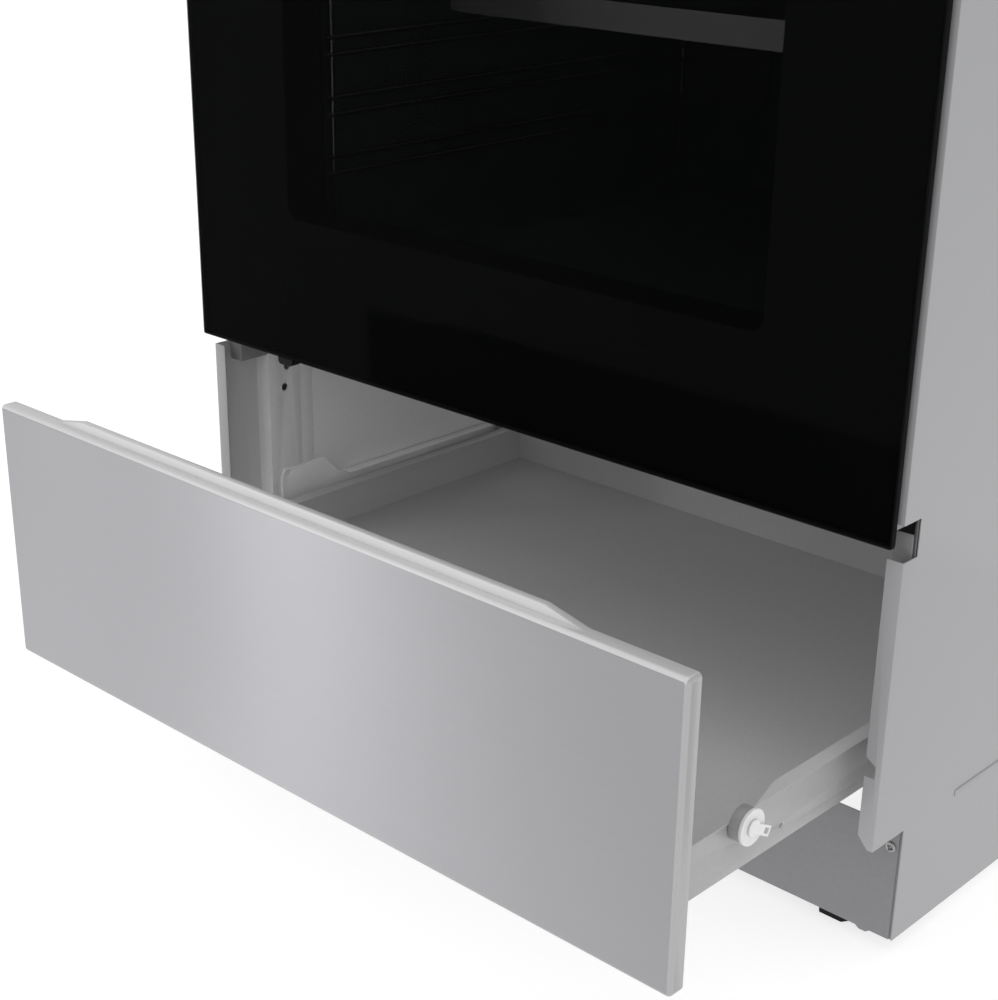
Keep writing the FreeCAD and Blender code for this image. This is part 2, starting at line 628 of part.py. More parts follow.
def shelf_racks():
    """A wire ladder on each oven wall: two uprights and a pair of rails at every level."""
    radius = "wire_radius"
    line = "mouth_half - rack_gap - wire_radius"
    bottom = "oven_floor_height + 24"
    start, stop = fy("plate_rear + 12"), fy("cavity_rear - 14")
    wires = [rod("z", radius, bottom, "cavity_high - 22", (line, along))
             for along in (fy("plate_rear + 20"), fy("cavity_rear - 24"))]
    for level in range(int(amount("shelf_levels"))):
        for rail in ("0", "rail_pair"):
            wires.append(rod("y", radius, start, stop, (line, "%s + %s" % (rail_height(level), rail))))
    studs = [rod("x", radius, line, "mouth_half", (along, height))
             for along in (fy("plate_rear + 20"), fy("cavity_rear - 24"))
             for height in (bottom + " + 4", "cavity_high - 26")]
    right = node("shelf_rack_right", fuse(wires + studs))
    node("shelf_rack_left", mirrored(right))


def wire_shelf():
    """A wire shelf: a frame on the side rails and bars across it."""
    height = rail_height(5) + " + wire_radius + wire_radius + 0.1"
    reach = "mouth_half - rack_gap - 4"
    ends = (fy("plate_rear + 34"), fy("cavity_rear - 30"))
    frame = [rod("y", "wire_radius", ends[0], ends[1], (side + "(%s)" % reach, height)) for side in ("", "-")]
    frame += [rod("x", "wire_radius", "-(%s)" % reach, reach, (along, height)) for along in ends]
    reachable = amount("mouth_half") - amount("rack_gap")
    count = int(2 * reachable / 30)
    for number in range(1, count):
        across = "(%s) * %.6f" % (reach, 2 * number / count - 1)
        frame.append(rod("y", "wire_radius - 0.7", ends[0], ends[1], (across, height)))
    node("wire_shelf", fuse(frame))


def baking_tray():
    """A pressed tray with rounded corners and a turned rim, on the rails."""
    front, rear = fy("tray_front"), fy("tray_front + bake_depth")
    outer = rounded(box(("-bake_half", "bake_half"), (front, rear), ("bake_low", "bake_high")), "bake_corner", "z")
    inner = rounded(box(("-bake_half + sheet", "bake_half - sheet"), (front + " + sheet", rear + " - sheet"),
                        ("bake_low + sheet", "bake_high + 1")), "bake_corner_inside", "z")
    rims = [box(ends, (front + " + 50", rear + " - 50"), ("bake_high - sheet", "bake_high"))
            for ends in (("bake_half - sheet", "bake_half + bake_rim"), ("-bake_half - bake_rim", "-bake_half + sheet"))]
    node("baking_tray", fuse([cut(outer, [inner])] + rims))


def oven_lamp():
    """The lamp in the back wall, under a domed glass."""
    node("oven_lamp", turned([
        ("0", "-12"), ("14", "-10"), ("20", "-3"), ("21.7", "0"), ("21.7", "6"), ("26", "6"), ("26", "9"), ("0", "9")],
        "y", "mouth_half - 60", fy("cavity_rear - 6 + touch_gap"), "cavity_high - 60"))


def insulation():
    """The glass wool blanket round the oven box, open at the front."""
    gap = "touch_gap"
    outer = box(("-cavity_half - insulation_thick", "cavity_half + insulation_thick"),
                (fy("plate_rear + touch_gap"), fy("cavity_rear + insulation_thick")),
                ("roof_top + touch_gap", "cavity_high + insulation_thick"))
    inside = box(("-cavity_half - " + gap, "cavity_half + " + gap),
                 (fy("plate_rear - 1"), fy("cavity_rear + touch_gap")), ("cavity_low - " + gap, "cavity_high + 1.3"))
    lamp = rod("y", "28", fy("cavity_rear - 1"), fy("cavity_rear + 9"), ("mouth_half - 60", "cavity_high - 60"))
    node("insulation", cut(outer, [inside, lamp]))


def bay_roof():
    """The heat shield between the oven and the drawer bay."""
    node("bay_roof", box(("-post_face + touch_gap", "post_face - touch_gap"),
                         (fy("plate_rear"), "back - sheet"), ("roof_low", "roof_top")))


# ---------------------------------------------------------------- control panel and gas train
def knob_places():
    """The knobs' distances from the middle, left to right."""
    return ["%.1f * knob_pitch + 0" % step for step in (-2.5, -1.5, -0.5, 0.5, 1.5)]


KNOBS = ("front_left", "rear_left", "oven", "rear_right", "front_right")


def control_panel():
    """The folded front panel, open at the back, drilled for the spindles and the button."""
    shell = box(("-front_half", "front_half"), ("front", fy("panel_depth")), ("panel_low", "body_top - touch_gap"))
    hollow = box(("-front_half + sheet", "front_half - sheet"), (fy("sheet"), fy("panel_depth + 1")),
                 ("panel_low + sheet", "body_top - sheet - touch_gap"))
    notch = [box(ends, (fy("side_front - touch_gap"), fy("panel_depth + 1")), ("panel_low - 1", "body_top + 1"))
             for ends in (("half - side_flange - 1", "half"), ("-half", "-half + side_flange + 1"))]
    holes = [rod("y", "spindle_radius + 1.5", "front - 1", fy("3"), (x, "knob_height")) for x in knob_places()]
    holes.append(rod("y", "button_radius + touch_gap", "front - 1", fy("3"), ("button_x", "knob_height")))
    node("control_panel", cut(shell, [hollow] + notch + holes))


def gas_taps():
    """One tap behind each knob, clamped on the manifold, with a bore for its spindle."""
    taps = []
    for x in knob_places():
        body = rod("y", "tap_radius", "tap_front", "tap_rear - manifold_radius + 2", (x, "knob_height"))
        bore = rod("y", "spindle_radius + 0.1", "tap_front - 1", "tap_front + 16", (x, "knob_height"))
        pipe = rod("x", "manifold_radius + running_gap", x + " - 20", x + " + 20", ("tap_rear", "knob_height"))
        taps.append(cut(body, [bore, pipe]))
    node("gas_taps", group(taps))


def gas_manifold():
    """The supply rail behind the taps, led to the inlet elbow at the back right."""
    rail = rod("x", "manifold_radius", "-half + 60", "inlet_x", ("tap_rear", "knob_height"))
    run = rod("y", "manifold_radius", "tap_rear", "back - 34", ("inlet_x", "knob_height"))
    corner = doc.addObject("Part::Sphere", "corner")
    corner.setExpression("Radius", tied("manifold_radius"))
    put(corner, "inlet_x", "tap_rear", "knob_height")
    node("gas_manifold", fuse([rail, run, corner]))


def gas_inlet():
    """The inlet elbow, with a round end outside the back panel for the supply union."""
    block = box(("inlet_x - 14", "inlet_x + 14"), ("back - 34", "back - 8"),
                ("inlet_height - 14", "knob_height + 14"))
    stub = rod("y", "inlet_radius", "back - 20", "back + inlet_reach", ("inlet_x", "inlet_height"))
    collar = rod("y", "inlet_radius + 5", "back - 8", "back - sheet", ("inlet_x", "inlet_height"))
    bore = rod("y", "6", "back - 18", "back + inlet_reach + 1", ("inlet_x", "inlet_height"))
    node("gas_inlet", cut(fuse([block, stub, collar]), [bore]))


def mains_gland():
    """The gland for the igniter's and the lamp's supply."""
    spot = ("-half + 70", "inlet_height")
    collar = rod("y", "13", "back", "back + 8", spot)
    body = rod("y", "8.7", "back - 10", "back + 8", spot)
    nut = rod("y", "13", "back - 9", "back - sheet", spot)
    bore = rod("y", "4", "back - 11", "back + 9", spot)
    node("mains_gland", cut(fuse([collar, body, nut]), [bore]))


def knobs():
    """Five push-and-turn knobs, each on its own spindle."""
    for label, x in zip(KNOBS, knob_places()):
        node("spindle_" + label, rod("y", "spindle_radius", "knob_rear - 14", "tap_front + 9", (x, "knob_height")))
        cap = turned([
            ("spindle_radius + running_gap", "0"), ("spindle_radius + running_gap", "15"),
            ("0", "15"), ("0", "knob_length"), ("knob_radius - 6", "knob_length"), ("knob_radius - 4", "knob_length - 2"),
            ("knob_radius - 2.5", "5"), ("knob_radius", "4"), ("knob_radius", "0")],
            "y", x, "knob_rear", "knob_height")
        cap.Placement = FreeCAD.Placement(cap.Placement.Base, FreeCAD.Rotation(FreeCAD.Vector(1, 0, 0), 90))
        node("knob_" + label, cap)


def ignition_button():
    """The sprung igniter button."""
    front_end = "front - button_proud"
    stem = rod("y", "button_radius - 3", "front", fy("20"), ("button_x", "knob_height"))
    cap = rod("y", "button_radius", front_end, fy("4"), ("button_x", "knob_height"))
    node("ignition_button", fuse([cap, stem]))


# ---------------------------------------------------------------- cooktop
def burner_spots():
    """Side, distance back and head radius of each burner."""
    return (("-burner_x", "front_burner", "34"), ("-burner_x", "rear_burner", "46"),
            ("burner_x", "rear_burner", "34"), ("burner_x", "front_burner", "24"))


def worktop():
    """The pressed top: skirt, rim and a lowered deck with a hole for each burner and a rear vent."""
    outer = box(("-half", "half"), ("front", "back"), ("deck_low", "worktop_height"))
    below = box(("-half + sheet", "half - sheet"), (fy("sheet"), "back - sheet"), ("deck_low - 1", "deck_top - sheet"))
    above = box(("-half + top_rim", "half - top_rim"), (fy("top_rim"), "back - 54"), ("deck_top", "worktop_height + 1"))
    holes = [rod("z", radius + " - 6", "deck_low", "worktop_height", (x, fy(along))) for x, along, radius in burner_spots()]
    slots = [box(("-vent_length / 2 + %d * 60" % i, "-vent_length / 2 + %d * 60 + 48" % i), ("back - 38", "back - 24"),
                 ("deck_low", "worktop_height + 1")) for i in range(7)]
    soft = rounded(outer, "top_round", "z")
    node("worktop", cut(soft, [below, above] + holes + slots))


def burners():
    """Each burner is a cup under the deck, a slotted head and a loose cap."""
    cups, heads, caps, sparks = [], [], [], []
    for x, along, radius in burner_spots():
        place = (x, fy(along), "deck_top")
        cups.append(turned([
            ("0", "-26"), (radius + " - 12", "-26"), (radius + " - 7", "-20"), (radius + " - 7", "0"),
            (radius, "0"), (radius, "2"), ("0", "2")], "z", *place))
        head = turned([("0", "2"), (radius + " - 3", "2"), (radius + " - 2", "13"), ("0", "13")], "z", *place)
        teeth = []
        for number in range(12):
            slot = doc.addObject("Part::Box", "flame_slot")
            slot.setExpression("Length", tied(radius + " + 2"))
            slot.Width = 1.6
            slot.Height = 6
            turn = FreeCAD.Rotation(FreeCAD.Vector(0, 0, 1), 15 + 30 * number)
            slot.Placement = FreeCAD.Placement(FreeCAD.Vector(), turn)
            put(slot, x, fy(along), "deck_top + 8")
            teeth.append(slot)
        core = rod("z", radius + " - 9", "deck_top + 2", "deck_top + 13", (x, fy(along)))
        heads.append(fuse([cut(head, teeth), core]))
        caps.append(turned([("0", "13"), (radius + " - 1", "13"), (radius + " - 1", "15"),
                            (radius + " - 4", "18"), ("0", "19")], "z", *place))
        sparks.append(rod("z", "2", "deck_top", "deck_top + 9", (x + " + %s + 4" % radius, fy(along))))
    node("burner_cups", group(cups))
    node("burner_heads", group(heads))
    node("burner_caps", group(caps))
    node("spark_plugs", group(sparks))


def pan_supports():
    """A cast frame over the two burners on each side, with fingers towards each burner and four feet."""
    left, right = "support_middle", "support_out"
    front_end, rear_end = fy("support_front"), "back - support_rear"
    low, high = "support_top - support_tall", "support_top"
    bars = [box((left, left + " + support_bar"), (front_end, rear_end), (low, high)),
            box((right + " - support_bar", right), (front_end, rear_end), (low, high)),
            box((left, right), (front_end, front_end + " + support_bar"), (low, high)),
            box((left, right), (rear_end + " - support_bar", rear_end), (low, high)),
            box((left, right), (fy("support_mid - support_bar / 2"), fy("support_mid + support_bar / 2")), (low, high))]
    for along, ends in (("front_burner", ("support_front", "support_mid")), ("rear_burner", ("support_mid", "body_depth - support_rear"))):
        thin = (fy(along) + " - 3.5", fy(along) + " + 3.5")
        bars.append(box((left, "burner_x - finger_gap"), thin, (low + " + 2", high)))
        bars.append(box(("burner_x + finger_gap", right), thin, (low + " + 2", high)))
        wide = ("burner_x - 3.5", "burner_x + 3.5")
        bars.append(box(wide, (fy(ends[0]), fy(along) + " - finger_gap"), (low + " + 2", high)))
        bars.append(box(wide, (fy(along) + " + finger_gap", fy(ends[1])), (low + " + 2", high)))
    for x in (left, right + " - support_bar"):
        for y in (front_end, rear_end + " - support_bar"):
            bars.append(box((x, x + " + support_bar"), (y, y + " + support_bar"), ("deck_top", high)))
    right_support = node("pan_support_right", fuse(bars))
    node("pan_support_left", mirrored(right_support))


# ---------------------------------------------------------------- build, check and write
def build():
    """Make every sub-part."""
    for make in (side_panel, front_posts, bay_liners, plinth, back_panel, levelling_feet, corner_bracket,
                 drawer_front, drawer_tray, rollers, runners, door_glass, door_print, door_frame, inner_glass,
                 door_handle, door_hinges, door_stop, oven_front_plate, door_seal, oven_cavity, oven_floor,
                 oven_burner, shelf_racks, wire_shelf, baking_tray, oven_lamp, insulation, bay_roof,
                 control_panel, gas_taps, gas_manifold, gas_inlet, mains_gland, knobs, ignition_button,
                 worktop, burners, pan_supports):
        make()
    doc.recompute()


def check():
    """Stop if any object failed or any sub-part is empty or broken."""
    for item in doc.Objects:
        if "Invalid" in item.State or "Error" in item.State:
            raise RuntimeError("%s (%s) did not build: %s" % (item.Name, item.Label, item.State))
    for piece in NODES:
        if piece.Shape.isNull() or not piece.Shape.isValid() or not piece.Shape.Solids:
            raise RuntimeError(piece.Label + " has no valid solid")


def write():
    """Write one file for each sub-part."""
    os.makedirs("parts", exist_ok=True)
    for piece in NODES:
        piece.Shape.exportStep("parts/%s.step" % piece.Label)
        print(piece.Label, len(piece.Shape.Solids), "solids", round(piece.Shape.Volume), "mm3")
    print(len(NODES), "sub-parts")


build()
check()
write()
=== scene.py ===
# %% [markdown]
# # A freestanding gas range, dressed for the camera
# The range already exists as a frame of exact parts: panels, door, drawer, burners and joints.
# This lesson gives every part its finish and adds the small formed pieces that catch the eye.
# We start by loading that frame.

# %% Load the frame
import json
import math

import bpy
from mathutils import Matrix, Vector


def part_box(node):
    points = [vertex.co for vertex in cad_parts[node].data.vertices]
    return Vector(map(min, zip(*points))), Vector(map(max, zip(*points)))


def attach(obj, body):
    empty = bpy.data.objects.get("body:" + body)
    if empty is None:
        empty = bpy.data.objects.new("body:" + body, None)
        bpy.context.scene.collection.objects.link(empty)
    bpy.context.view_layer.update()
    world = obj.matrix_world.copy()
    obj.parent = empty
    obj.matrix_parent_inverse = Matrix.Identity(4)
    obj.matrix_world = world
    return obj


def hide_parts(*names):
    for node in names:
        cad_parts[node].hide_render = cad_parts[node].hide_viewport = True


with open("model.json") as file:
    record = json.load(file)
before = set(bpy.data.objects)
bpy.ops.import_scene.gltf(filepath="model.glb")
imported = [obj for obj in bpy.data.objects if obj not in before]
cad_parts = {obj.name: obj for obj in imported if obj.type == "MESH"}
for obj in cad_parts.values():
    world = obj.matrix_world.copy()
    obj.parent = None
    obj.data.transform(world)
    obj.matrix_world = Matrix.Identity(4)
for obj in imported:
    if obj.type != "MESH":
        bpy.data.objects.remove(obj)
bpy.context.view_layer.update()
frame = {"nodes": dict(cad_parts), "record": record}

nodes = frame["nodes"]

# %% [markdown]
# The outer pane, the drawer front and the side panels give the places that later steps need.
# A part's box is its lowest and highest corner, so no number has to be typed twice.

# %% Read the main places
DOOR_LOW, DOOR_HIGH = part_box("door_glass")
DRAWER_LOW, DRAWER_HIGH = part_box("drawer_front")
SIDE_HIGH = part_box("side_panel_right")[1]
FRONT = DOOR_LOW.y
print("door from", round(DOOR_LOW.z, 3), "to", round(DOOR_HIGH.z, 3), "front face at", round(FRONT, 4))

# %% [markdown]
# ## The camera
# We look at the range through a longish lens, from the right and a little above.
# A camera's own axes are right, up and backwards, so we write those three directions as a matrix.
# The small lens shift keeps upright edges from leaning more than they should.

# %% Set up the camera
SENSOR_WIDE, LENS = 36.0, 66.15  # millimetres
SHIFT_ACROSS, SHIFT_UP = 0.0117, 0.0665
RIGHT = Vector((0.7257, 0.6879, 0.0103))
DOWN = Vector((0.2796, -0.2812, -0.9180))
AHEAD = Vector((-0.6286, 0.6691, -0.3964))
EYE = Vector((0.7705, FRONT - 0.8244, 0.6740))

camera_data = bpy.data.cameras.new("camera")
camera_data.sensor_width = SENSOR_WIDE
camera_data.lens = LENS
camera_data.shift_x = SHIFT_ACROSS
camera_data.shift_y = SHIFT_UP
camera = bpy.data.objects.new("camera", camera_data)
bpy.context.collection.objects.link(camera)
turn = Matrix((RIGHT.normalized(), -DOWN.normalized(), -AHEAD.normalized())).transposed()
camera.matrix_world = Matrix.Translation(EYE) @ turn.to_4x4()
bpy.context.scene.camera = camera
bpy.context.scene.view_settings.view_transform = "Standard"
print("lens", round(camera_data.lens, 1), "mm")

# %% [markdown]
# ## The studio
# A white sweep and large soft lamps are how white-goods are photographed.
# The floor is one big plane that glows a little, so no hard shadow falls on it. The world gives an
# even fill, and looks white to the camera itself.

# %% Floor and world
WHITE = (1, 1, 1, 1)
FLOOR_SIZE, FLOOR_GREY, FLOOR_ROUGH, FLOOR_GLOW = 12, 0.42, 0.9, 0.72
SKY_FILL, SKY_SEEN = 0.78, 1.0


def material_nodes(name):
    """Start a material and return it with its node tree and its Principled shader."""
    made = bpy.data.materials.new(name)
    made.use_nodes = True
    return made, made.node_tree, made.node_tree.nodes["Principled BSDF"]


def deselect():
    """Nothing stays selected, so the next operator works on new geometry only."""
    if bpy.context.object and bpy.context.object.mode == "EDIT":
        bpy.ops.object.mode_set(mode="OBJECT")
    bpy.ops.object.select_all(action="DESELECT")


deselect()
bpy.ops.mesh.primitive_plane_add(size=FLOOR_SIZE, location=(0, 0, 0))
floor = bpy.context.object
floor.name = "floor"
bpy.ops.object.transform_apply(location=True, rotation=True, scale=True)
floor_material, tree, shader = material_nodes("white_floor")
shader.inputs["Base Color"].default_value = (FLOOR_GREY, FLOOR_GREY, FLOOR_GREY, 1)
shader.inputs["Roughness"].default_value = FLOOR_ROUGH
shader.inputs["Specular IOR Level"].default_value = 0.0
glow = tree.nodes.new("ShaderNodeEmission")
glow.inputs["Color"].default_value = WHITE
glow.inputs["Strength"].default_value = FLOOR_GLOW
lit = tree.nodes.new("ShaderNodeAddShader")
tree.links.new(shader.outputs[0], lit.inputs[0])
tree.links.new(glow.outputs[0], lit.inputs[1])
tree.links.new(lit.outputs[0], tree.nodes["Material Output"].inputs["Surface"])
floor.data.materials.append(floor_material)

world = bpy.data.worlds.new("studio")
bpy.context.scene.world = world
world.use_nodes = True
sky = world.node_tree
fill = sky.nodes["Background"]
fill.inputs["Color"].default_value = WHITE
fill.inputs["Strength"].default_value = SKY_FILL
seen = sky.nodes.new("ShaderNodeBackground")
seen.inputs["Color"].default_value = WHITE
seen.inputs["Strength"].default_value = SKY_SEEN
rays = sky.nodes.new("ShaderNodeLightPath")
choose = sky.nodes.new("ShaderNodeMixShader")
sky.links.new(rays.outputs["Is Camera Ray"], choose.inputs[0])
sky.links.new(fill.outputs[0], choose.inputs[1])
sky.links.new(seen.outputs[0], choose.inputs[2])
sky.links.new(choose.outputs[0], sky.nodes["World Output"].inputs["Surface"])
print("floor and world ready")

# %% [markdown]
# One large soft box lights the range from above. Metal needs something to reflect, so two tall narrow
# strips stand at the left: they draw the bright band on the brushed steel. The strips are meant for
# that steel, so light linking leaves the door's panes and what lies behind them out of their reach.

# %% Lamps
SOFT_BOX_PLACE, SOFT_BOX_TARGET, SOFT_BOX_SIZE, SOFT_BOX_POWER = (0.5, -0.3, 3.0), (0, 0, 0.4), 2.6, 12
STRIP_TARGET, STRIP_TALL = (0.0, -0.4, 0.2), 1.5


def area_lamp(name, place, target, wide, tall, power):
    """A rectangular soft box at a place, turned to a target."""
    data = bpy.data.lights.new(name, "AREA")
    data.shape = "RECTANGLE"
    data.size = wide
    data.size_y = tall
    data.energy = power
    lamp = bpy.data.objects.new(name, data)
    bpy.context.collection.objects.link(lamp)
    lamp.location = place
    lamp.rotation_euler = (Vector(target) - Vector(place)).to_track_quat("-Z", "Y").to_euler()
    return lamp


area_lamp("soft_box_above", SOFT_BOX_PLACE, SOFT_BOX_TARGET, SOFT_BOX_SIZE, SOFT_BOX_SIZE, SOFT_BOX_POWER)
panes = bpy.data.collections.new("left_out_of_strips")
for name in ("door_glass", "door_inner_glass", "door_print", "oven_cavity"):
    panes.objects.link(nodes[name])
for member in panes.collection_objects:
    member.light_linking.link_state = "EXCLUDE"
for name, place, wide, power in (("strip_left", (-1.0, FRONT - 1.25, 0.75), 0.13, 2.4),
                                 ("strip_edge", (-1.3, FRONT - 0.95, 0.75), 0.2, 0.8)):
    strip = area_lamp(name, place, STRIP_TARGET, wide, STRIP_TALL, power)
    strip.visible_camera = False
    strip.light_linking.receiver_collection = panes

# %% [markdown]
# ## Shared surface effects
# Real surfaces are never one colour: paint has a faint orange peel, steel has brush lines,
# and a little dust and handling changes how sharply a place reflects.
# One node group makes that: it mixes two colours and two roughness values with layered noise,
# and puts out a height for a bump. Stretching its pattern turns grains into brush lines.

# %% The surface group
MIX_SOCKETS = {"RGBA": (6, 7, 2), "FLOAT": (2, 3, 0)}
GRAIN_DETAIL, PATCH_DETAIL = 5, 3
SPREAD_FROM, SPREAD_TO = 0.12, 0.42


def new_group(name, inputs, outputs):
    """An empty shader group with named sockets, each given as (name, kind, default)."""
    group = bpy.data.node_groups.new(name, "ShaderNodeTree")
    for label, kind, default in inputs:
        socket = group.interface.new_socket(label, in_out="INPUT", socket_type=kind)
        if default is not None:
            socket.default_value = default
    for label, kind in outputs:
        group.interface.new_socket(label, in_out="OUTPUT", socket_type=kind)
    return group, group.nodes.new("NodeGroupInput"), group.nodes.new("NodeGroupOutput")


def mixed(tree, kind, factor, first, second):
    """A Mix node of one kind; each kind has its own two inputs and result, found by number."""
    mix = tree.nodes.new("ShaderNodeMix")
    mix.data_type = kind
    first_input, second_input, result = MIX_SOCKETS[kind]
    tree.links.new(factor, mix.inputs[0])
    tree.links.new(first, mix.inputs[first_input])
    tree.links.new(second, mix.inputs[second_input])
    return mix.outputs[result]


surface, enter, leave = new_group(
    "surface_grain",
    [("Light", "NodeSocketColor", (0.5, 0.5, 0.5, 1)), ("Dark", "NodeSocketColor", (0.4, 0.4, 0.4, 1)),
     ("Smooth", "NodeSocketFloat", 0.3), ("Rough", "NodeSocketFloat", 0.4),
     ("Scale", "NodeSocketFloat", 100.0), ("Stretch", "NodeSocketVector", (1, 1, 1)),
     ("Patch", "NodeSocketFloat", 3.0)],
    [("Color", "NodeSocketColor"), ("Roughness", "NodeSocketFloat"), ("Height", "NodeSocketFloat")])
place = surface.nodes.new("ShaderNodeTexCoord")
stretch = surface.nodes.new("ShaderNodeMapping")
surface.links.new(place.outputs["Object"], stretch.inputs["Vector"])
surface.links.new(enter.outputs["Stretch"], stretch.inputs["Scale"])
grain = surface.nodes.new("ShaderNodeTexNoise")
grain.inputs["Detail"].default_value = GRAIN_DETAIL
surface.links.new(stretch.outputs[0], grain.inputs["Vector"])
surface.links.new(enter.outputs["Scale"], grain.inputs["Scale"])
patch = surface.nodes.new("ShaderNodeTexNoise")
patch.inputs["Detail"].default_value = PATCH_DETAIL
surface.links.new(place.outputs["Object"], patch.inputs["Vector"])
surface.links.new(enter.outputs["Patch"], patch.inputs["Scale"])
both = surface.nodes.new("ShaderNodeMath")
both.operation = "MULTIPLY"
surface.links.new(grain.outputs["Fac"], both.inputs[0])
surface.links.new(patch.outputs["Fac"], both.inputs[1])
spread = surface.nodes.new("ShaderNodeMapRange")
spread.inputs["From Min"].default_value = SPREAD_FROM
spread.inputs["From Max"].default_value = SPREAD_TO
surface.links.new(both.outputs[0], spread.inputs["Value"])
tone = mixed(surface, "RGBA", spread.outputs[0], enter.outputs["Dark"], enter.outputs["Light"])
surface.links.new(tone, leave.inputs["Color"])
gloss = mixed(surface, "FLOAT", patch.outputs["Fac"], enter.outputs["Smooth"], enter.outputs["Rough"])
surface.links.new(gloss, leave.inputs["Roughness"])
surface.links.new(grain.outputs["Fac"], leave.inputs["Height"])
print("group", surface.name, "with", len(surface.nodes), "nodes")


# %% [markdown]
# A finish is then one call: two close colours, two roughness values, the size of the grain,
# how far it is stretched along each axis, and how deep the bump is. Anything else that is the
# same all over, such as metallic or coat, is set straight on the shader.

# %% Make a finish
def grey(value, tint=(1.0, 1.0, 1.0)):
    """A colour from one brightness and a slight tint."""
    return (value * tint[0], value * tint[1], value * tint[2], 1)


def finish(name, light, dark, smooth, rough, scale, stretch=(1, 1, 1), patch=3.0, bump=0.05,
           depth=0.0002, **plain):
    """A Principled material driven by the surface group."""
    made, tree, shader = material_nodes(name)
    effect = tree.nodes.new("ShaderNodeGroup")
    effect.node_tree = surface
    for label, value in (("Light", light), ("Dark", dark), ("Smooth", smooth), ("Rough", rough),
                         ("Scale", scale), ("Stretch", stretch), ("Patch", patch)):
        effect.inputs[label].default_value = value
    tree.links.new(effect.outputs["Color"], shader.inputs["Base Color"])
    tree.links.new(effect.outputs["Roughness"], shader.inputs["Roughness"])
    raised = tree.nodes.new("ShaderNodeBump")
    raised.inputs["Strength"].default_value = bump
    raised.inputs["Distance"].default_value = depth
    tree.links.new(effect.outputs["Height"], raised.inputs["Height"])
    tree.links.new(raised.outputs["Normal"], shader.inputs["Normal"])
    for label, value in plain.items():
        shader.inputs[label.replace("_", " ")].default_value = value
    return made


def wear(material, *names):
    """Give a material to CAD parts."""
    for name in names:
        nodes[name].data.materials.clear()
        nodes[name].data.materials.append(material)


# %% [markdown]
# ## Sheet metal
# The drawer front and the control panel are satin steel brushed along their length. Brush lines
# spread a reflection across themselves, so a lamp becomes a tall soft band. That is anisotropy, and
# it needs a tangent: a radial one about X runs straight up a front face.
# The hob is brushed too, but plainly. The drawer front's folded edges get a duller steel of their own.
# The casing is smooth grey paint. The folded parts of the bay are bare sheet: near-white posts and liners,
# whose pale tone is painted light, a darker roof and bracket, a smooth tray with flanges darkened as painted
# shade, and galvanised runners, near white partly from painted light.

# %% Casing and drawer finishes
COOL, COOLER = (1, 1, 1.03), (1, 1, 1.04)
brushed = finish("satin_steel", grey(0.52, COOLER), grey(0.505, COOLER), 0.46, 0.5, 900,
                 stretch=(0.02, 1, 1), patch=1.6, bump=0.006, Metallic=1.0, Anisotropic=1.0)
brush_lines = brushed.node_tree.nodes.new("ShaderNodeTangent")
brush_lines.direction_type = "RADIAL"
brush_lines.axis = "X"
brushed_shader = brushed.node_tree.nodes["Principled BSDF"]
brushed.node_tree.links.new(brush_lines.outputs[0], brushed_shader.inputs["Tangent"])
hob_steel = finish("hob_steel", grey(0.46), grey(0.42), 0.3, 0.4, 800, stretch=(0.03, 1, 1), patch=1.6,
                   bump=0.02, Metallic=1.0)
edge_steel = finish("edge_steel", grey(0.45), grey(0.42), 0.34, 0.42, 800, stretch=(0.03, 1, 1), patch=1.6,
                    bump=0.01, Metallic=0.35)
casing_paint = finish("casing_paint", grey(0.385, COOL), grey(0.37, COOL), 0.34, 0.44, 500, patch=1.5,
                      bump=0.06)
# Near-white grey for the posts, liners and back: painted light that stands in for light the dim bay lacks.
bay_steel_painted_light = finish("bay_steel_painted_light", grey(0.92), grey(0.87), 0.36, 0.46, 260, patch=4, bump=0.05)
tray_steel = finish("tray_steel", grey(0.73), grey(0.69), 0.24, 0.34, 300, patch=2.5, bump=0.04)
# Darker grey for the tray's outermost flanges: painted shade.
flange_painted_shade = finish("flange_painted_shade", grey(0.42), grey(0.39), 0.3, 0.4, 300, patch=2.5, bump=0.04)
plinth_steel = finish("plinth_steel", grey(0.235, COOLER), grey(0.215, COOLER), 0.38, 0.46, 420, bump=0.06)
bracket_steel = finish("bracket_steel", grey(0.3), grey(0.27), 0.36, 0.46, 260, patch=4, bump=0.05)
# Galvanised zinc with its grey raised to near white: the metal's own tone, plus painted light for the runners
# in the dim bay.
zinc = finish("zinc_plate_and_painted_light", grey(0.92), grey(0.86), 0.3, 0.45, 60, patch=25, bump=0.05, Metallic=0.1)
wear(casing_paint, "side_panel_left", "side_panel_right")
wear(brushed, "drawer_front", "control_panel")
wear(hob_steel, "worktop", "door_handle")
wear(bay_steel_painted_light, "front_posts", "bay_liners", "back_panel")
wear(bracket_steel, "bay_roof", "corner_bracket")
wear(tray_steel, "drawer_tray")
wear(plinth_steel, "plinth")
wear(zinc, "runner_left", "runner_right", "hinge_arms", "hinge_pins")

# %% [markdown]
# ## Door
# The pane is dark glass: what lies behind the printed border is black, and the window lets a
# little light through. A half-transparent smoky film with a very weak reflection does this.

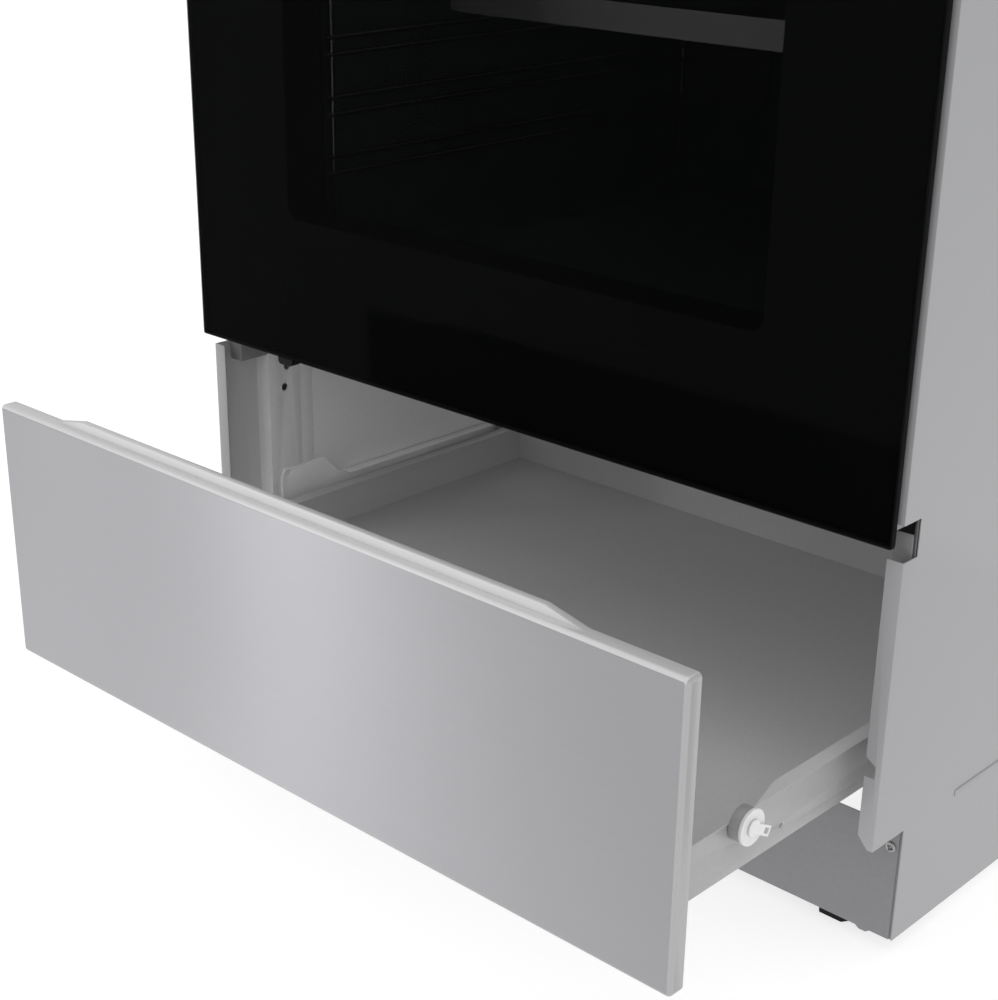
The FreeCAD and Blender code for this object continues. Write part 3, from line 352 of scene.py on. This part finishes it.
# %% Glass, print and door frame
SMOKE, INK = (0.75, 1, 0.9), (0.97, 1, 1.05)
pane = finish("smoked_glass", grey(0.0006, SMOKE), grey(0.0004, SMOKE), 0.01, 0.02, 60, patch=3,
              bump=0.0, Alpha=0.5, Specular_IOR_Level=0.022)
inner_pane = finish("inner_glass", grey(0.004), grey(0.003), 0.04, 0.08, 60, bump=0.0, Alpha=0.12,
                    Specular_IOR_Level=0.05)
black_print = finish("black_print", grey(0.023, INK), grey(0.021, INK), 0.5, 0.6, 300, bump=0.01,
                     Specular_IOR_Level=0.0)
black_steel = finish("black_steel", grey(0.002), grey(0.0015), 0.6, 0.7, 300, bump=0.05,
                     Specular_IOR_Level=0.01)
wear(pane, "door_glass")
wear(inner_pane, "door_inner_glass")
wear(black_print, "door_print")
wear(black_steel, "door_frame", "oven_front_plate")

# %% [markdown]
# ## Oven
# The oven box is fired with a dark greenish enamel, rather dull. The tray is bright, the wires are
# chromed, and glass wool is packed round the box.

# %% Oven finishes
GREENISH = (0.75, 1, 0.93)
enamel = finish("oven_enamel", grey(0.2, GREENISH), grey(0.13, GREENISH), 0.42, 0.5, 700, patch=40,
                bump=0.03, Specular_IOR_Level=0.3)
tray_enamel = finish("bright_tray", grey(0.86), grey(0.76), 0.25, 0.35, 300, bump=0.04, Metallic=0.3)
chrome = finish("chromed_wire", grey(0.75), grey(0.62), 0.12, 0.22, 200, bump=0.02, Metallic=1.0)
wool = finish("glass_wool", (0.6, 0.55, 0.36, 1), (0.45, 0.4, 0.25, 1), 0.9, 1.0, 400,
              stretch=(1, 1, 6), bump=0.6, depth=0.001)
burner_steel = finish("burner_steel", grey(0.35), grey(0.25), 0.4, 0.55, 200, bump=0.08, Metallic=1.0)
wear(enamel, "oven_cavity", "oven_floor")
wear(tray_enamel, "baking_tray")
wear(chrome, "shelf_rack_left", "shelf_rack_right", "wire_shelf")
wear(wool, "insulation")
wear(burner_steel, "oven_burner", "gas_manifold", "gas_inlet",
     *[name for name in nodes if name.startswith("spindle_")])
print("oven parts wear", enamel.name, tray_enamel.name, chrome.name, wool.name, burner_steel.name)

# %% [markdown]
# ## Hob and controls
# Cast iron is nearly black and very rough, and its bump is the deepest here. The burners are dull
# alloy under dark enamelled caps, and the knobs are turned metal. Rubber, nylon and ceramic have no
# metal in them. At the end we ask whether any part is still bare.

# %% Hob, controls and small parts
cast_iron = finish("cast_iron", grey(0.035), grey(0.018), 0.5, 0.7, 900, bump=0.5, depth=0.0004)
cap_enamel = finish("cap_enamel", grey(0.02), grey(0.012), 0.35, 0.5, 500, bump=0.1)
alloy = finish("burner_alloy", grey(0.5), grey(0.38), 0.35, 0.5, 300, bump=0.08, Metallic=1.0)
brass = finish("brass", (0.6, 0.42, 0.16, 1), (0.5, 0.33, 0.12, 1), 0.25, 0.35, 200, bump=0.03, Metallic=1.0)
nylon = finish("white_nylon", grey(0.84), grey(0.78), 0.35, 0.45, 200, bump=0.03)
rubber = finish("black_rubber", grey(0.007), grey(0.005), 0.6, 0.8, 500, bump=0.1,
                Specular_IOR_Level=0.2)
knob_metal = finish("knob_metal", grey(0.45), grey(0.4), 0.28, 0.36, 500, stretch=(1, 0.02, 1), bump=0.06,
                    Metallic=1.0)
moulding = finish("black_moulding", grey(0.02), grey(0.015), 0.45, 0.6, 500, bump=0.08)
IVORY = (1, 0.98, 0.93)
ceramic = finish("white_ceramic", grey(0.8, IVORY), grey(0.72, IVORY), 0.2, 0.3, 300, bump=0.02)
lamp_glass = finish("lamp_glass", grey(0.8), grey(0.7), 0.05, 0.1, 100, bump=0.0, Alpha=0.5)
wear(cast_iron, "pan_support_left", "pan_support_right")
wear(cap_enamel, "burner_caps")
wear(alloy, "burner_heads", "burner_cups")
wear(brass, "gas_taps")
wear(nylon, *[name for name in nodes if name.startswith("roller_")])
wear(rubber, "levelling_feet", "door_bottom_stop", "door_seal")
wear(knob_metal, "ignition_button", *[name for name in nodes if name.startswith("knob_")])
wear(moulding, "mains_gland")
wear(ceramic, "spark_plugs")
wear(lamp_glass, "oven_lamp")
bare = [name for name, part in nodes.items() if len(part.data.materials) == 0]
print("finishes", len(bpy.data.materials), "parts without one:", bare)

# %% [markdown]
# ## Soft folds
# Sheet metal is never folded to a knife edge, and a casting never leaves its mould with one. A thin
# bright line along each edge is what tells the eye that a part is real.
# The exact part stays hidden as the measure of its place, and a copy of it is shown instead. The copy
# is merged, its flat triangles are dissolved into whole faces, and a bevel rounds its edges.

# %% Copy a part and round its edges
SAME_POINT = 0.00001
FLAT_ENOUGH = math.radians(1.0)
SHARP_FROM = math.radians(35)
SMOOTH_BELOW = math.radians(40)


def frame_body(name):
    """The body that a part moves with."""
    bodies = frame["record"]["behaviour"]["bodies"]
    return next(body for body, parts in bodies.items() if name in parts)


def apply_rounding(piece, width, segments=2):
    """Round a piece's sharp edges with a bevel modifier and apply it; width is in metres."""
    bpy.context.view_layer.objects.active = piece
    rounding = piece.modifiers.new("rounding", "BEVEL")
    rounding.width = width
    rounding.segments = segments
    rounding.limit_method = "ANGLE"
    rounding.angle_limit = SHARP_FROM
    bpy.ops.object.modifier_apply(modifier=rounding.name)
    bpy.ops.object.shade_smooth_by_angle(angle=SMOOTH_BELOW)


def soften(name, width, segments=2):
    """Show a copy of a part with rounded edges."""
    deselect()
    source = nodes[name]
    piece = source.copy()
    piece.data = source.data.copy()
    piece.name = name + "_formed"
    piece.parent = None
    bpy.context.collection.objects.link(piece)
    piece.matrix_world = Matrix.Identity(4)
    piece.hide_set(False)
    piece.select_set(True)
    bpy.context.view_layer.objects.active = piece
    bpy.ops.object.mode_set(mode="EDIT")
    bpy.ops.mesh.select_all(action="SELECT")
    bpy.ops.mesh.remove_doubles(threshold=SAME_POINT)
    bpy.ops.mesh.dissolve_limited(angle_limit=FLAT_ENOUGH)
    bpy.ops.object.mode_set(mode="OBJECT")
    apply_rounding(piece, width, segments)
    piece.select_set(False)
    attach(piece, frame_body(name))
    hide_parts(name)
    return piece


SHEET_EDGE, PRESSED_EDGE, FOOT_EDGE, CAST_EDGE = 0.0004, 0.0008, 0.001, 0.0014
formed = [soften(name, SHEET_EDGE) for name, slot in (
    ("side_panel_right", "side_paint"), ("side_panel_left", "side_paint"), ("drawer_tray", "grey_steel"),
    ("front_posts", "grey_steel"), ("bay_liners", "grey_steel"), ("corner_bracket", "grey_steel"),
    ("plinth", "grey_steel"), ("runner_left", "zinc_steel"), ("runner_right", "zinc_steel"),
    ("drawer_front", "stainless"))]
formed += [soften(name, CAST_EDGE, 3) for name in ("pan_support_left", "pan_support_right")]
formed += [soften("levelling_feet", FOOT_EDGE),
           soften("worktop", PRESSED_EDGE),
           soften("control_panel", PRESSED_EDGE, 3)]
for piece in formed:
    print(piece.name, len(piece.data.polygons), "faces")

# %% [markdown]
# ## Tools for small pieces
# Every small piece that we add starts as a block or a drum. It gets a name and a finish, and its place
# is put into its mesh, so its own origin stays where the frame's is. Pieces that belong together are
# joined into one, and a ring of pieces is one piece turned again and again about a line.

# %% Small tools
def settle(name, material):
    """Name the new primitive, put its place into its mesh and give it a finish."""
    piece = bpy.context.object
    piece.name = name
    piece.data.name = name
    bpy.ops.object.transform_apply(location=True, rotation=True, scale=True)
    piece.data.materials.clear()
    piece.data.materials.append(material)
    return piece


def block(name, low, high, material):
    """A box between two corners, as a start for a piece."""
    deselect()
    bpy.ops.mesh.primitive_cube_add(size=1, location=(Vector(low) + Vector(high)) / 2,
                                    scale=Vector(high) - Vector(low))
    return settle(name, material)


def drum(name, centre, radius, depth, axis, material, sides=48):
    """A cylinder along X or Y, as a start for a round piece."""
    deselect()
    turns = {"X": (0, math.pi / 2, 0), "Y": (math.pi / 2, 0, 0)}
    bpy.ops.mesh.primitive_cylinder_add(vertices=sides, radius=radius, depth=depth, location=centre,
                                        rotation=turns[axis])
    return settle(name, material)


def choose(piece, kind, test):
    """Enter edit mode with only the faces, or only the edges, that pass a test selected."""
    bpy.context.view_layer.objects.active = piece
    bpy.ops.object.mode_set(mode="EDIT")
    bpy.ops.mesh.select_mode(type=kind)
    bpy.ops.mesh.select_all(action="DESELECT")
    bpy.ops.object.mode_set(mode="OBJECT")
    for element in (piece.data.polygons if kind == "FACE" else piece.data.edges):
        element.select = test(element)
    bpy.ops.object.mode_set(mode="EDIT")


def joined(name, pieces):
    """Join pieces into the first one."""
    deselect()
    for piece in pieces:
        piece.select_set(True)
    bpy.context.view_layer.objects.active = pieces[0]
    bpy.ops.object.join()
    pieces[0].name = name
    deselect()
    return pieces[0]


def turn_about(piece, centre, angle, axis):
    """Turn a piece's mesh about a line that runs through a centre along an axis."""
    turning = Matrix.Translation(centre) @ Matrix.Rotation(angle, 4, axis)
    piece.data.transform(turning @ Matrix.Translation(-centre))


SIDES = ((1, "right"), (-1, "left"))
print("each side is", SIDES)

# %% [markdown]
# ## Drawer rollers
# Each roller is a thin white nylon rim on a grey hub, and both are cylinders at first. The rim's outer
# face is inset and pushed in slightly, and the sharp edges are rounded. One function makes a wheel at
# its own place, so it is called once for each of the four.

# %% Roller pieces
hub_grey = finish("hub_grey", grey(0.36), grey(0.32), 0.4, 0.5, 300, bump=0.04)
RIM_THICK, RIM_BORDER, RIM_EDGE = 0.0024, 0.0014, 0.0006
DISH_SLOPE, DISH_DEEP = 0.0004, 0.0002
HUB_STEP, HUB_EDGE = 0.0006, 0.0004
LOOKS_OUT = 0.9


def roller(name):
    """A nylon rim with a dished face, on a grey hub."""
    low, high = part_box(name)
    middle, radius = (low + high) / 2, (high.z - low.z) / 2
    side = 1 if middle.x > 0 else -1
    outer = high.x if side > 0 else low.x
    wide = high.x - low.x
    hub_centre = (outer - side * (wide + RIM_THICK) / 2, middle.y, middle.z)
    hub = drum(name + "_hub", hub_centre, radius - HUB_STEP, wide - RIM_THICK, "X", hub_grey)
    apply_rounding(hub, HUB_EDGE)
    rim_centre = (outer - side * RIM_THICK / 2, middle.y, middle.z)
    rim = drum(name + "_rim", rim_centre, radius, RIM_THICK, "X", nylon)
    choose(rim, "FACE", lambda face: face.normal.x * side > LOOKS_OUT)
    bpy.ops.mesh.inset(thickness=RIM_BORDER)
    bpy.ops.mesh.inset(thickness=DISH_SLOPE, depth=-DISH_DEEP)
    bpy.ops.object.mode_set(mode="OBJECT")
    apply_rounding(rim, RIM_EDGE, 3)
    piece = joined(name + "_wheel", [rim, hub])
    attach(piece, name)
    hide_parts(name)
    return piece


wheels = [roller("roller_%s_%s" % (end, word)) for end in ("front", "rear") for side, word in SIDES]
print("rollers", [(wheel.name, len(wheel.data.polygons)) for wheel in wheels])

# %% [markdown]
# ## Small folded strips
# Thin strips close the gaps that the eye would otherwise fall into. One at each side bridges the step
# between a post and its liner, one turns the corner inside the right hinge notch, and four black ones
# run round the edge of the door's pane. Each starts as a box, and its edges are rolled.

# %% Strips in the bay, in the notch and round the pane
POST_LOW, POST_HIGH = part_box("front_posts")
LINER_LOW, LINER_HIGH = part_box("bay_liners")
BRACKET_LOW, BRACKET_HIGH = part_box("corner_bracket")
SHEET, NOTCH_TOP, LINER_INSIDE = 0.001, 0.299, 0.285
STRIP_EDGE, STRIP_LAP, STRIP_SHORT = 0.0003, 0.0005, 0.002
RETURN_INSET, RETURN_LAP = 1.2 * SHEET, 0.002
PANE_EDGE, CLEAR = 0.0016, 0.0002
# Near-black grey for the return inside the hinge notch: painted shade for the notch's dark inside.
return_painted_shade = finish("return_painted_shade", grey(0.1), grey(0.085), 0.36, 0.46, 260, patch=4, bump=0.05)


def strip_of_sheet(name, low, high, material, body):
    """A folded strip between two corners."""
    piece = block(name, low, high, material)
    apply_rounding(piece, STRIP_EDGE)
    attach(piece, body)
    return piece


strips = []
for side, word in SIDES:
    edges = sorted((side * LINER_INSIDE, side * (LINER_INSIDE + SHEET)))
    strips.append(strip_of_sheet(
        "post_strip_" + word,
        (edges[0], POST_HIGH.y - STRIP_LAP, LINER_LOW.z + STRIP_SHORT),
        (edges[1], LINER_LOW.y + STRIP_LAP, LINER_HIGH.z - STRIP_SHORT),
        bay_steel_painted_light, "cabinet"))
strips.append(strip_of_sheet(
    "notch_return_right",
    (BRACKET_HIGH.x, BRACKET_LOW.y + CLEAR, BRACKET_LOW.z),
    (SIDE_HIGH.x - RETURN_INSET, POST_LOW.y + RETURN_LAP, NOTCH_TOP),
    return_painted_shade, "cabinet"))
# Each row is a strip's left and lower end, then its right and upper end: bottom, top, left, right.
PANE_ROWS = (
    ((DOOR_LOW.x + CLEAR, DOOR_LOW.z + CLEAR), (DOOR_HIGH.x - CLEAR, DOOR_LOW.z + PANE_EDGE)),
    ((DOOR_LOW.x + CLEAR, DOOR_HIGH.z - PANE_EDGE), (DOOR_HIGH.x - CLEAR, DOOR_HIGH.z - CLEAR)),
    ((DOOR_LOW.x + CLEAR, DOOR_LOW.z + PANE_EDGE), (DOOR_LOW.x + PANE_EDGE, DOOR_HIGH.z - PANE_EDGE)),
    ((DOOR_HIGH.x - PANE_EDGE, DOOR_LOW.z + PANE_EDGE), (DOOR_HIGH.x - CLEAR, DOOR_HIGH.z - PANE_EDGE)))
for number, ((left, bottom), (right, top)) in enumerate(PANE_ROWS):
    strips.append(strip_of_sheet("pane_edge_%d" % number, (left, FRONT + CLEAR, bottom),
                                 (right, DOOR_HIGH.y, top), black_print, "door"))
print("strips", [strip.name for strip in strips])

# %% [markdown]
# Some faces get a tone of their own. The drawer front's folded edges are duller than its brushed face, and
# its upper lip is paler, which is painted light; the inside of each side panel is painted paler as painted
# light, and the tray's outermost flanges are painted darker as painted shade. We find such faces by where
# they look and where they lie.

# %% Faces with a finish of their own, and with painted light and shade
# Paler grey for the drawer front's upper lip: painted light on the face that looks up at the lamps.
lip_painted_light = finish("lip_painted_light", grey(0.66), grey(0.62), 0.34, 0.42, 800, stretch=(0.03, 1, 1), patch=1.6,
                   bump=0.01, Metallic=0.2)
# Paler grey for the inside of each side panel: painted light where little light reaches it in the bay.
inner_painted_light = finish("inner_painted_light", grey(0.64), grey(0.6), 0.4, 0.5, 500, patch=1.5, bump=0.05)
LOOKS_FORWARD, LOOKS_SIDEWAYS, LOOKS_INWARD = 0.95, 0.5, 0.7
FACE_DEEP, LIP_TALL = 0.003, 0.009
SIDE_SKIN, FLANGE_SKIN = 0.0015, 0.0004


def paint_faces(name, material, test):
    """Give the faces of a piece that pass a test a further material."""
    skin = bpy.data.objects[name].data
    skin.materials.append(material)
    chosen = [face for face in skin.polygons if test(face)]
    for face in chosen:
        face.material_index = len(skin.materials) - 1
    print(name, len(chosen), "faces in", material.name)


def folded_back(face):
    """True for the drawer front's edges: all that isn't its flat face."""
    return abs(face.normal.y) < LOOKS_FORWARD or face.center.y > DRAWER_LOW.y + FACE_DEEP


def on_upper_lip(face):
    """True for the drawer front's upper lip."""
    below = face.center.z < DRAWER_HIGH.z - LIP_TALL
    return folded_back(face) and not (abs(face.normal.x) > LOOKS_SIDEWAYS or below)


paint_faces("drawer_front_formed", edge_steel, folded_back)
paint_faces("drawer_front_formed", lip_painted_light, on_upper_lip)
# The inner faces of the side panels get the paler grey: painted light.
for side, word in SIDES:
    paint_faces("side_panel_%s_formed" % word, inner_painted_light,
                lambda face: face.normal.x * side < -LOOKS_INWARD
                and abs(face.center.x) > SIDE_HIGH.x - SIDE_SKIN)
# The tray's outermost flanges are painted darker: painted shade.
TRAY_SIDE = max(vertex.co.x for vertex in bpy.data.objects["drawer_tray_formed"].data.vertices)
paint_faces("drawer_tray_formed", flange_painted_shade,
            lambda face: abs(face.normal.x) > LOOKS_INWARD and abs(face.center.x) > TRAY_SIDE - FLANGE_SKIN)

# %% [markdown]
# ## Screws
# The plinth and the back are held by small pan-head screws. One screw is modelled facing forwards: a
# short cylinder with a rounded head and a cross cut into it with a Boolean. It is then copied, each
# copy with its own mesh, and turned for the back.

# %% A cross-head screw and its copies
HEAD_RADIUS, HEAD_TALL, HEAD_EDGE = 0.0036, 0.0016, 0.0008
CROSS_LONG, CROSS_WIDE, CROSS_DEEP, CROSS_PROUD, CROSS_TURN = 0.0021, 0.0004, 0.0009, 0.001, 0.4
SCREW_INSET, PLINTH_SCREW_DROP = 0.0065, 0.0146
BACK_SCREW_HEIGHTS = (0.05, 0.24, 0.43, 0.62, 0.79)
screw_steel = finish("screw_steel", grey(0.4), grey(0.3), 0.3, 0.42, 300, bump=0.05, Metallic=1.0)
head = drum("screw_head", (0, -HEAD_TALL / 2, 0), HEAD_RADIUS, HEAD_TALL, "Y", screw_steel, sides=24)
apply_rounding(head, HEAD_EDGE, 3)
arms = [block("arm", (-wide, -HEAD_TALL - CROSS_PROUD, -tall), (wide, -HEAD_TALL + CROSS_DEEP, tall),
              screw_steel)
        for wide, tall in ((CROSS_LONG, CROSS_WIDE), (CROSS_WIDE, CROSS_LONG))]
cross = joined("cross", arms)
carve = head.modifiers.new("cross", "BOOLEAN")
carve.operation = "DIFFERENCE"
carve.use_self = True
carve.object = cross
bpy.context.view_layer.objects.active = head
bpy.ops.object.modifier_apply(modifier=carve.name)
bpy.data.objects.remove(cross)


def screw(name, place, facing):
    """A copy of the screw at a place, facing forwards or backwards."""
    piece = bpy.data.objects.new(name, head.data.copy())
    bpy.context.collection.objects.link(piece)
    about_face = Matrix.Rotation(0 if facing == "front" else math.pi, 4, "Z")
    piece.data.transform(Matrix.Translation(place) @ (about_face @ Matrix.Rotation(CROSS_TURN, 4, "Y")))
    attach(piece, "cabinet")
    return piece


PLINTH_LOW, PLINTH_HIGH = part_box("plinth")
BACK_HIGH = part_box("back_panel")[1]
screws = []
for side, word in SIDES:
    screws.append(screw("plinth_screw_" + word, (side * (PLINTH_HIGH.x - SCREW_INSET), PLINTH_LOW.y,
                                                 PLINTH_HIGH.z - PLINTH_SCREW_DROP), "front"))
    for number, height in enumerate(BACK_SCREW_HEIGHTS):
        screws.append(screw("back_screw_%s_%d" % (word, number),
                            (side * (BACK_HIGH.x - SCREW_INSET), BACK_HIGH.y, height), "back"))
bpy.data.objects.remove(head)
print("screws", len(screws))

# %% [markdown]
# ## Pressed ribs
# A thin side panel drums when it is knocked, so a low rib is pressed into it near the bottom. It is
# a long flat bar, sunk into the panel so that little of it stands out, with its edges rolled over.

# %% Ribs on the side panels
RIB_FRONT, RIB_HEIGHT, RIB_TALL = FRONT + 0.105, 0.0915, 0.0045
RIB_PROUD, RIB_SUNK, RIB_STOP, RIB_EDGE = 0.0008, 0.0004, 0.04, 0.0006
for side, word in SIDES:
    out, inside = side * (SIDE_HIGH.x + RIB_PROUD), side * (SIDE_HIGH.x - RIB_SUNK)
    rib = block("side_rib_" + word,
                (min(out, inside), RIB_FRONT, RIB_HEIGHT - RIB_TALL / 2),
                (max(out, inside), SIDE_HIGH.y - RIB_STOP, RIB_HEIGHT + RIB_TALL / 2), casing_paint)
    apply_rounding(rib, RIB_EDGE, 3)
    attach(rib, "cabinet")
print("rib at", RIB_HEIGHT)

# %% [markdown]
# ## Knobs
# A knob is gripped with wet fingers, so its side has ribs, and it needs a pointer. The turned body is
# already right, so only the ribs and the pointer are added. They are laid round the knob's own
# axis: one small bar is placed at the top, and each next one is the same bar turned a little further.

# %% Grip ribs and pointers
pointer_paint = finish("pointer_paint", grey(0.8), grey(0.74), 0.4, 0.5, 300, bump=0.02)
GRIPS, GRIP_HALF, GRIP_EDGE = 24, 0.0007, 0.0004
GRIP_INNER, GRIP_OUTER = 0.0158, 0.0178
GRIP_FROM_FRONT, GRIP_FROM_BACK = 0.0035, 0.0055
POINTER_HALF, POINTER_INNER, POINTER_OUTER = 0.0009, 0.003, 0.0125
POINTER_PROUD, POINTER_SUNK, POINTER_EDGE = 0.0004, 0.001, 0.0003
knob_names = [name for name in nodes if name.startswith("knob_")]
first_low, first_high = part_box(knob_names[0])
first_axis = (first_low + first_high) / 2
bars = []
for number in range(GRIPS):
    bar = block("grip",
                (first_axis.x - GRIP_HALF, first_low.y + GRIP_FROM_FRONT, first_axis.z + GRIP_INNER),
                (first_axis.x + GRIP_HALF, first_high.y - GRIP_FROM_BACK, first_axis.z + GRIP_OUTER),
                knob_metal)
    turn_about(bar, first_axis, math.tau * number / GRIPS, "Y")
    bars.append(bar)
grip = joined("grip_first", bars)
apply_rounding(grip, GRIP_EDGE)
for name in knob_names:
    low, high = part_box(name)
    axis = (low + high) / 2
    ring = bpy.data.objects.new(name + "_grip", grip.data.copy())
    bpy.context.collection.objects.link(ring)
    ring.data.transform(Matrix.Translation(axis - first_axis))
    pointer = block(name + "_pointer",
                    (axis.x - POINTER_HALF, low.y - POINTER_PROUD, axis.z + POINTER_INNER),
                    (axis.x + POINTER_HALF, low.y + POINTER_SUNK, axis.z + POINTER_OUTER), pointer_paint)
    apply_rounding(pointer, POINTER_EDGE)
    for piece in (ring, pointer):
        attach(piece, frame_body(name))
bpy.data.objects.remove(grip)
print("knobs", knob_names)

# %% [markdown]
# The panel has printed marks round each knob: a dot where the gas is off, and ticks that grow as the
# flame does. The oven's marks are numbered, as on any gas oven. Print has almost no thickness, so
# each mark is a very thin solid on the panel's face.

# %% Printed marks
mark_print = finish("mark_print", grey(0.012), grey(0.009), 0.4, 0.5, 300, bump=0.01, Specular_IOR_Level=0.2)
MARK_INNER, MARK_THICK, MARK_SUNK, DOT = 0.0235, 0.00015, 0.0001, 0.0016
TICK_SHORT, TICK_GROWTH, TICK_WIDE = 0.001, 0.0022, 0.0006
FIGURE_SIZE, FIGURE_REACH = 0.0055, MARK_INNER + 0.0068
# How far round the marks go, in degrees, and how many there are.
OVEN_DIAL, BURNER_DIAL = (150, 8), (200, 11)


def panel_mark(name, axis, degrees, outer, wide):
    """A thin mark on the panel, pointing at the knob's axis and ending at an outer radius."""
    mark = block(name, (axis.x - wide / 2, FRONT - MARK_THICK, axis.z + MARK_INNER),
                 (axis.x + wide / 2, FRONT + MARK_SUNK, axis.z + outer), mark_print)
    turn_about(mark, axis, math.radians(degrees), "Y")
    return mark


def panel_figure(number, axis, degrees):
    """An upright number on the panel, beyond its tick."""
    bpy.ops.object.text_add(rotation=(math.pi / 2, 0, 0))
    figure = bpy.context.object
    figure.data.body = str(number)
    figure.data.size = FIGURE_SIZE
    figure.data.extrude = MARK_THICK / 2
    figure.data.align_x = "CENTER"
    figure.data.align_y = "CENTER"
    figure.location = (axis.x + FIGURE_REACH * math.sin(math.radians(degrees)), FRONT,
                       axis.z + FIGURE_REACH * math.cos(math.radians(degrees)))
    deselect()
    figure.select_set(True)
    bpy.context.view_layer.objects.active = figure
    bpy.ops.object.convert(target="MESH")
    return settle("figure", mark_print)


for name in knob_names:
    low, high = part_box(name)
    axis = (low + high) / 2
    axis.y = FRONT
    numbered = name == "knob_oven"
    sweep, count = OVEN_DIAL if numbered else BURNER_DIAL
    marks = [panel_mark("off", axis, 0, MARK_INNER + DOT, DOT)]
    for number in range(1, count + 1):
        degrees = -sweep * number / count
        outer = MARK_INNER + TICK_SHORT + TICK_GROWTH * number / count
        marks.append(panel_mark("tick", axis, degrees, outer, TICK_WIDE))
        if numbered:
            marks.append(panel_figure(number, axis, degrees))
    print_ring = joined(name + "_marks", marks)
    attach(print_ring, "cabinet")
print("marks printed round", len(knob_names), "knobs")

# %% [markdown]
# ## Burner ports
# Gas leaves a burner head through a ring of small slots under its cap. Each slot is a black block, painted
# shade for the dark inside the opening. One is set at the rim and repeated round it, and the ring is made
# for each burner at that burner's own radius, which is read from the head's own points.

# %% Ports
# Black blocks: painted shade for the dark inside each gas slot.
port_painted_shade = finish("port_painted_shade", grey(0.01), grey(0.006), 0.7, 0.8, 300, bump=0.02)
HEAD_LOW, HEAD_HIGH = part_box("burner_heads")
PORT_TALL, PORT_WIDE, PORT_DEEP, PORT_PROUD, PORT_PITCH = 0.0045, 0.0016, 0.003, 0.0002, 0.0052
PORT_TOP = HEAD_HIGH.z - 0.0015
middle = Vector(((HEAD_LOW.x + HEAD_HIGH.x) / 2, (HEAD_LOW.y + HEAD_HIGH.y) / 2, 0))
corners = {}
for vertex in nodes["burner_heads"].data.vertices:
    corners.setdefault((vertex.co.x > middle.x, vertex.co.y > middle.y), []).append(vertex.co)
ports = []
for (right, rear), points in sorted(corners.items()):
    low = Vector([min(point[axis] for point in points) for axis in range(3)])
    high = Vector([max(point[axis] for point in points) for axis in range(3)])
    hub, radius = (low + high) / 2, (high.x - low.x) / 2
    slots = []
    count = int(math.tau * radius / PORT_PITCH)
    for number in range(count):
        port = block("port", (hub.x - PORT_WIDE / 2, hub.y + radius - PORT_DEEP, PORT_TOP - PORT_TALL),
                     (hub.x + PORT_WIDE / 2, hub.y + radius + PORT_PROUD, PORT_TOP), port_painted_shade)
        turn_about(port, hub, math.tau * number / count, "Z")
        slots.append(port)
    ring = joined("ports_%s_%s" % ("rear" if rear else "front", "right" if right else "left"), slots)
    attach(ring, "cabinet")
    ports.append((ring.name, count, round(radius, 4)))
print("ports", ports)

# %% [markdown]
# ## The cover in the oven
# The oven's rear wall carries a small cover. It is a box too: the four edges that run front to back
# are bevelled far, which rounds its corners, and then its rim is rounded a little.

# %% Rear cover
cover_glass = finish("cover_glass", grey(0.22), grey(0.18), 0.12, 0.2, 100, bump=0.01)
CAVITY_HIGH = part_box("oven_cavity")[1]
COVER_LEFT, COVER_RIGHT, COVER_BOTTOM, COVER_TOP = -0.228, -0.148, 0.413, 0.492
COVER_FRONT, COVER_BACK = CAVITY_HIGH.y - 0.007, CAVITY_HIGH.y - 0.0015
COVER_CORNER, COVER_EDGE, RUNS_BACK = 0.012, 0.0012, 0.004
cover = block("rear_cover", (COVER_LEFT, COVER_FRONT, COVER_BOTTOM), (COVER_RIGHT, COVER_BACK, COVER_TOP),
              cover_glass)


def runs_back(edge):
    """True for an edge of the cover that runs from front to back."""
    first, second = (cover.data.vertices[index].co for index in edge.vertices)
    return abs(first.y - second.y) > RUNS_BACK


choose(cover, "EDGE", runs_back)
bpy.ops.mesh.bevel(offset=COVER_CORNER, segments=5)
bpy.ops.object.mode_set(mode="OBJECT")
apply_rounding(cover, COVER_EDGE)
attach(cover, "cabinet")
print("cover", len(cover.data.polygons), "faces")

# %% [markdown]
# ## A fill for the bay
# The drawer bay is a cave, so two soft lamps from the front lift it: one for the posts and liners, and
# a stronger one for the runners. Light linking keeps each to its own pieces: it is a card held to the
# opening, not a change of the studio.

# %% Bay lamps
BAY_LAMP_PLACE, BAY_LAMP_TARGET = (0.75, FRONT - 0.8, 0.66), (-0.29, FRONT + 0.1, 0.2)
BAY_LAMP_SIZE = 0.3
for name, power, reached in (
        ("bay_fill", 0.8, ("front_posts_formed", "bay_liners_formed", "post_strip_left", "post_strip_right")),
        ("runner_fill", 3.0, ("runner_left_formed", "runner_right_formed"))):
    bay_pieces = bpy.data.collections.new(name + "_reach")
    for piece in reached:
        bay_pieces.objects.link(bpy.data.objects[piece])
    bay_fill = area_lamp(name, BAY_LAMP_PLACE, BAY_LAMP_TARGET, BAY_LAMP_SIZE, BAY_LAMP_SIZE, power)
    bay_fill.visible_camera = False
    bay_fill.light_linking.receiver_collection = bay_pieces
    print(name, "reaches", reached)
